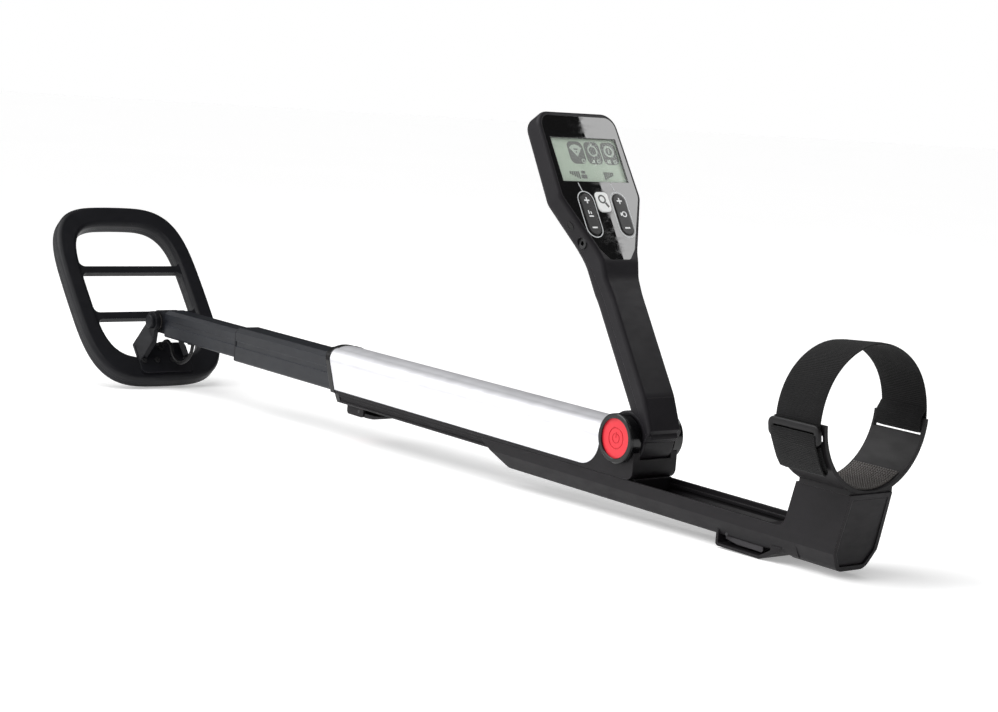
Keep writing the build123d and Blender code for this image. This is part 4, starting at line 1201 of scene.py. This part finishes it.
@dataclass
class CoilCable:
    """The short cable from the coil's gland, in one loop, up into the lower shaft.

    Attributes:
        frames: the detector's frames.
        finishes: the materials.
        thick: its diameter, in metres.
        length: its length, in metres; not used.
        sides: how many sides the jacket has.
        route: its route from the coil's gland in the shaft's frame, as x, z in metres.
    """

    frames: Frames
    finishes: Finishes
    thick: float = 0.0036
    length: float = 0.0819
    sides: int = 20
    route: tuple[Point2, ...] = (
        (-0.724955, -0.038696), (-0.718183, -0.032768), (-0.708, -0.0355), (-0.7025, -0.0485),
        (-0.688, -0.0535), (-0.6715, -0.046), (-0.6652, -0.036), (-0.6645, -0.0299))

    def line(self) -> list[Vector]:
        """Points close together along the route's smooth line.

        Returns:
            The points, from the coil to the lower shaft.
        """
        curve = bpy.data.curves.new("coil_cable_route", "CURVE")
        curve.dimensions = "3D"
        curve.resolution_u = 24
        spline = curve.splines.new("NURBS")
        spline.points.add(len(self.route) - 1)
        for point, (x, z) in zip(spline.points, self.route):
            point.co = (*self.frames.shaft.at(x / MM, 0, z / MM), 1)
        spline.order_u = 3
        spline.use_endpoint_u = True
        holder = bpy.data.objects.new("coil_cable_route", curve)
        bpy.context.scene.collection.objects.link(holder)
        mesh = bpy.data.meshes.new_from_object(holder)
        found = [vertex.co.copy() for vertex in mesh.vertices]
        bpy.data.objects.remove(holder)
        bpy.data.meshes.remove(mesh)
        return found

    def tube(self) -> bpy.types.Object:
        """The jacket, bent between the lower shaft and the coil.

        Returns:
            The piece.
        """
        line = self.line()
        side, rows = self.frames.shaft.side, []
        for i, point in enumerate(line):
            way = (line[min(i + 1, len(line) - 1)] - line[max(i - 1, 0)]).normalized()
            up = side.cross(way)
            rows.append([point + (side * math.cos(a) + up * math.sin(a)) * self.thick / 2
                         for a in (2 * math.pi * k / self.sides for k in range(self.sides))])
        shape = Shape()
        shape.lattice(rows, loop=True, caps=True)
        piece = shape.piece("coil_lead", self.finishes.of(Slot.cable_rubber.value), 60)
        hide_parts("coil_cable")
        tuple(line[0])
        tuple(line[-1])
        tuple(line[0])
        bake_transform(piece)
        return piece


# ------------------------------------------------------------------ display and keys

@dataclass
class Face:
    """Everything shown or printed on the handle's face, laid out as y, g in mm.

    Attributes:
        axes: the handle's frame.
        finishes: the materials.
        glass: level of the display's face.
        panel: level of the gloss panel.
        key: level of the two rocker keys' tops.
        find: level of the white key's top.
        ink: thickness of a printed mark.
        key_side: how far a rocker key's middle is from the handle's.
    """

    axes: Axes
    finishes: Finishes
    glass: float = 33.42
    panel: float = 35.5
    key: float = 36.2
    find: float = 36.3
    ink: float = 0.06
    key_side: float = 16.5

    def put(self, y: float, g: float, level: float) -> Vector:
        """A row-frame point by its place on the face and its level."""
        return self.axes.at(level, y, g)

    def mark(self, name: str, ink: Ink, level: float, body: str,
             outlines: Sequence[Sequence[Point2]],
             hoops: Sequence[tuple[Sequence[Point2], Sequence[Point2]]] = ()) -> bpy.types.Object:
        """Makes one piece of flat marks.

        Args:
            name: the piece's name.
            ink: its finish.
            level: the level it lies on.
            body: the body it rides on.
            outlines: its solid marks.
            hoops: its ring marks, as outer and inner outlines.

        Returns:
            The piece.
        """
        shape = Shape()
        for outline in outlines:
            shape.plate(outline, self.put, level, level + self.ink)
        for outer, inner in hoops:
            shape.hoop(outer, inner, self.put, level, level + self.ink)
        piece = shape.piece(name, self.finishes.of(ink.value))
        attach(piece, body)
        return piece

    def display(self) -> None:
        """Three target tiles, their symbols, and the two stepped scales below them."""
        tiles = [rounded_box((y, 222.5), 15.6, 19.4, 4.6) for y in (-9.2, 7.7, 24.4)]
        scales = []
        for left in (-22.4, 11.9):
            for k in range(5):
                drop = 2.6 + 0.95 * (k if left < 0 else 4 - k) + (0.6 if left > 0 else 0)
                place = left + 2.05 * k + 0.8
                scales.append(bar((place, 206.2 - drop), (place, 206.2), 1.65))
        figure = [rounded_box((-8.6, 205.6), 4.2, 2.6, 1.2),
                  rounded_box((-8.6, 201.9), 5.8, 3.4, 1.0)]
        self.mark("display_segments", Ink.segment, self.glass, "handle", tiles + scales + figure)
        fan = [(-15.4, 226.6), (-12.4, 228.9), (-9.2, 229.6), (-6.0, 228.9), (-3.0, 226.6),
               (-9.2, 218.9)]
        notch = [rounded_box((y, 215.4), 3.8, 3.8, 1.85) for y in (10.9, -4.6, 28.0)]
        notch += [rounded_box((21.6, 215.4), 3.6, 3.0, 0.5),
                  [(3.2, 213.9), (6.9, 213.9), (6.9, 217.4)]]
        ring = (rounded_box((7.7, 224.5), 9.8, 9.8, 4.8), rounded_box((7.7, 224.5), 7.2, 7.2, 3.5))
        coin = (rounded_box((24.4, 224.5), 10.2, 10.2, 5.0),
                rounded_box((24.4, 224.5), 6.4, 6.4, 3.1))
        self.mark("display_symbols", Ink.paper, self.glass + self.ink, "handle",
                  [fan[::-1], *notch, bar((7.7, 229.0), (7.7, 231.0), 2.0),
                   bar((24.4, 222.6), (24.4, 226.4), 1.3)], [ring, coin])
        dots = [rounded_box((y, 215.4), 1.9, 1.9, 0.9) for y in (-4.6, 10.9, 28.0)]
        dots += [bar((-11.2, 225.4), (-7.2, 225.4), 1.1), bar((-9.9, 223.0), (-8.5, 223.0), 1.1)]
        self.mark("display_dots", Ink.segment, self.glass + 2 * self.ink, "handle", dots)

    def panel_print(self) -> None:
        """White outline round each rocker key and its leader from the display."""
        hoops = [(rounded_box((y, 168.5), 16.6, 39.6, 8.2),
                  rounded_box((y, 168.5), 14.9, 37.9, 7.4))
                 for y in (-self.key_side, self.key_side)]
        leaders = [bar((-17.4, 188.2), (-19.2, 195.2), 0.8), bar((15.6, 188.2), (13.8, 195.2), 0.8)]
        self.mark("panel_outlines", Ink.white, self.panel, "handle", leaders, hoops)

    def rocker_marks(self) -> None:
        """Plus, a small symbol and minus on each rocker key."""
        for side, y in (("left", -self.key_side), ("right", self.key_side)):
            marks = [bar((y - 2.6, 180.0), (y + 2.6, 180.0), 1.2), bar((y, 180.6), (y, 182.6), 1.2),
                     bar((y, 177.4), (y, 179.4), 1.2), bar((y - 2.6, 157.0), (y + 2.6, 157.0), 1.3)]
            if side == "left":
                marks += [rounded_box((y, 166.6), 4.6, 1.2, 0.5),
                          bar((y - 1.6, 168.4), (y - 1.6, 171.6), 1.1),
                          bar((y + 0.6, 168.4), (y + 0.6, 170.6), 1.1)]
                hoops = []
            else:
                marks += [bar((y - 2.2, 167.4), (y - 2.2, 170.0), 1.3)]
                hoops = [(rounded_box((y + 1.0, 168.7), 5.0, 5.0, 2.4),
                          rounded_box((y + 1.0, 168.7), 3.0, 3.0, 1.4))]
            self.mark(f"{side}_key_marks", Ink.bright, self.key, f"{side}_key", marks, hoops)

    def lens_mark(self) -> None:
        """A magnifying glass on the white key."""
        ring = (rounded_box((-0.8, 181.2), 7.4, 7.4, 3.65),
                rounded_box((-0.8, 181.2), 4.8, 4.8, 2.35))
        self.mark("find_key_mark", Ink.black, self.find, "find_button",
                  [bar((1.6, 178.2), (4.0, 174.6), 1.9)], [ring])

    def make(self) -> None:
        """Makes every mark."""
        self.display()
        self.panel_print()
        self.rocker_marks()
        self.lens_mark()


# ------------------------------------------------------------------ studio

@dataclass
class Studio:
    """Camera, lights and floor.

    Attributes:
        axes: the shaft's frame.
        handle: the handle's frame.
        eye: the camera's place in the shaft's frame, in mm.
        right: its right-hand direction in that frame.
        upward: its upward direction.
        lens: its focal length, in mm on a 36 mm sensor.
    """

    axes: Axes
    handle: Axes
    eye: tuple[float, float, float] = (1159.8, -1075.7, 270.1)
    right: tuple[float, float, float] = (0.61695, 0.78350, 0.07417)
    upward: tuple[float, float, float] = (-0.15288, 0.02686, 0.98788)
    lens: float = 76.69

    def camera(self) -> None:
        """Adds the camera and makes it the scene's."""
        data = bpy.data.cameras.new("camera")
        data.lens, data.sensor_width, data.clip_end = self.lens, 36.0, 50.0
        eye = bpy.data.objects.new("camera", data)
        right = self.axes.way(*self.right).normalized()
        upward = self.axes.way(*self.upward).normalized()
        back = right.cross(upward)
        turn = Matrix((right, back.cross(right), back)).transposed()
        eye.matrix_world = Matrix.Translation(self.axes.at(*self.eye)) @ turn.to_4x4()
        bpy.context.scene.collection.objects.link(eye)
        bpy.context.scene.camera = eye

    def softbox(self, name: str, place: Vector, aim: Vector, size: Point2, power: float,
                upward: Vector = Vector((0, 0, 1))) -> None:
        """Adds one area light.

        Args:
            name: the light's name.
            place: where it stands.
            aim: the point it faces.
            size: its width and height, in metres.
            power: its power, in watts.
            upward: the direction its height runs along.
        """
        data = bpy.data.lights.new(name, "AREA")
        data.shape, data.size, data.size_y, data.energy = "RECTANGLE", *size, power
        back = (place - aim).normalized()
        right = upward.cross(back).normalized()
        box = bpy.data.objects.new(name, data)
        box.visible_camera = False
        turn = Matrix((right, back.cross(right), back)).transposed()
        box.matrix_world = Matrix.Translation(place) @ turn.to_4x4()
        bpy.context.scene.collection.objects.link(box)

    def mirrored(self, y: float, g: float) -> tuple[Vector, Vector]:
        """Where the camera looks by way of a point of the gloss panel.

        Args:
            y: the point's place across the panel, in mm.
            g: its place up the handle.

        Returns:
            The point, and the direction that the panel turns the view into.
        """
        point = self.handle.at(Face.panel, y, g)
        seen, normal = (self.axes.at(*self.eye) - point).normalized(), self.handle.ahead
        return point, (2 * normal.dot(seen) * normal - seen).normalized()

    def lights(self) -> None:
        """Broad light from the left, a soft top, and a card that the gloss panel mirrors."""
        data = bpy.data.lights.new("window", "SUN")
        data.energy, data.angle = 2.3, math.radians(55)
        window = bpy.data.objects.new("window", data)
        facing = Vector((-0.42, -0.62, 0.66)).to_track_quat("Z", "Y")
        window.matrix_world = facing.to_matrix().to_4x4()
        bpy.context.scene.collection.objects.link(window)
        middle = self.axes.at(-150, 0, 20)
        self.softbox("overhead", self.axes.at(-350, -350, 1700), middle, (2.4, 1.0), 14)
        point, way = self.mirrored(3.0, 200.0)
        along = self.handle.up - way * self.handle.up.dot(way)
        across = along.cross(-way).normalized()
        sign = 1 if across.dot(self.axes.side) > 0 else -1
        aside = across * sign * 0.075
        self.softbox("panel_card", point + way * 0.5 + aside, point + aside, (0.15, 0.4), 0.85,
                     along)

    def room(self) -> None:
        """A wide pale floor and a surround that is bright at the left and dim at the right."""
        tree = Tree.empty("pale_floor")
        drift = tree.noise(tree.place(), 0.9).over(0.2, 0.8)
        floor_paint = tree.close({
            "Base Color": tree.blend(drift, (0.93, 0.93, 0.93), (0.95, 0.95, 0.95)),
            "Roughness": 0.8, "Specular IOR Level": 0.1,
            "Emission Color": (1.0, 1.0, 1.0, 1.0), "Emission Strength": 0.33})
        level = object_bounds()[0][2] - 0.0004
        reach, sides = 60, 64
        rim = [Vector((reach * math.cos(a), reach * math.sin(a), level))
               for a in (2 * math.pi * k / sides for k in range(sides))]
        shape = Shape(points=rim, faces=[tuple(range(sides))], laid=[(0.0, 0.0)] * sides)
        shape.piece("floor", floor_paint)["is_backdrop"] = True
        world = bpy.data.worlds.new("surround")
        bpy.context.scene.world = world
        air = Tree(world)
        side = air.axis(air.add("ShaderNodeTexCoord", out="Generated"), "Y")
        lit = 0.06 + 0.5 * (0.0 - side).over(-0.5, 0.9)
        seen = air.add("ShaderNodeLightPath", out="Is Camera Ray")
        back = air.nodes["Background"]
        back.inputs["Color"].default_value = (1.0, 1.0, 1.0, 1.0)
        air.links.new(lit.larger(seen).socket, back.inputs["Strength"])

    def make(self) -> None:
        """Sets up the whole studio."""
        bpy.context.scene.view_settings.view_transform = "Standard"
        self.camera()
        self.lights()
        self.room()


def main() -> None:
    """Builds the detector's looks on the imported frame."""
    logging.basicConfig(level=logging.INFO, format="%(message)s")
    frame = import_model()
    frames = Frames.of(frame["joints"])
    finishes = Finishes()
    Studio(frames.shaft, frames.handle).make()
    LOG.info("dressed %d nodes", finishes.dress_frame(frame["nodes"], frame["record"]["subparts"]))
    CoilCable(frames, finishes).tube()
    rest = ArmRest(frames.shaft, finishes)
    hinge = Hinge(frames, finishes, frame["nodes"])
    for piece in (rest.strap(), rest.tail(), rest.buckle(), rest.skirt(), rest.pad(),
                  hinge.button_surround(), hinge.back_cover(), hinge.side_port()):
        LOG.info("%s has %d faces", piece.name, len(piece.data.polygons))
    Face(frames.handle, finishes).make()


if __name__ == "__main__":
    main()
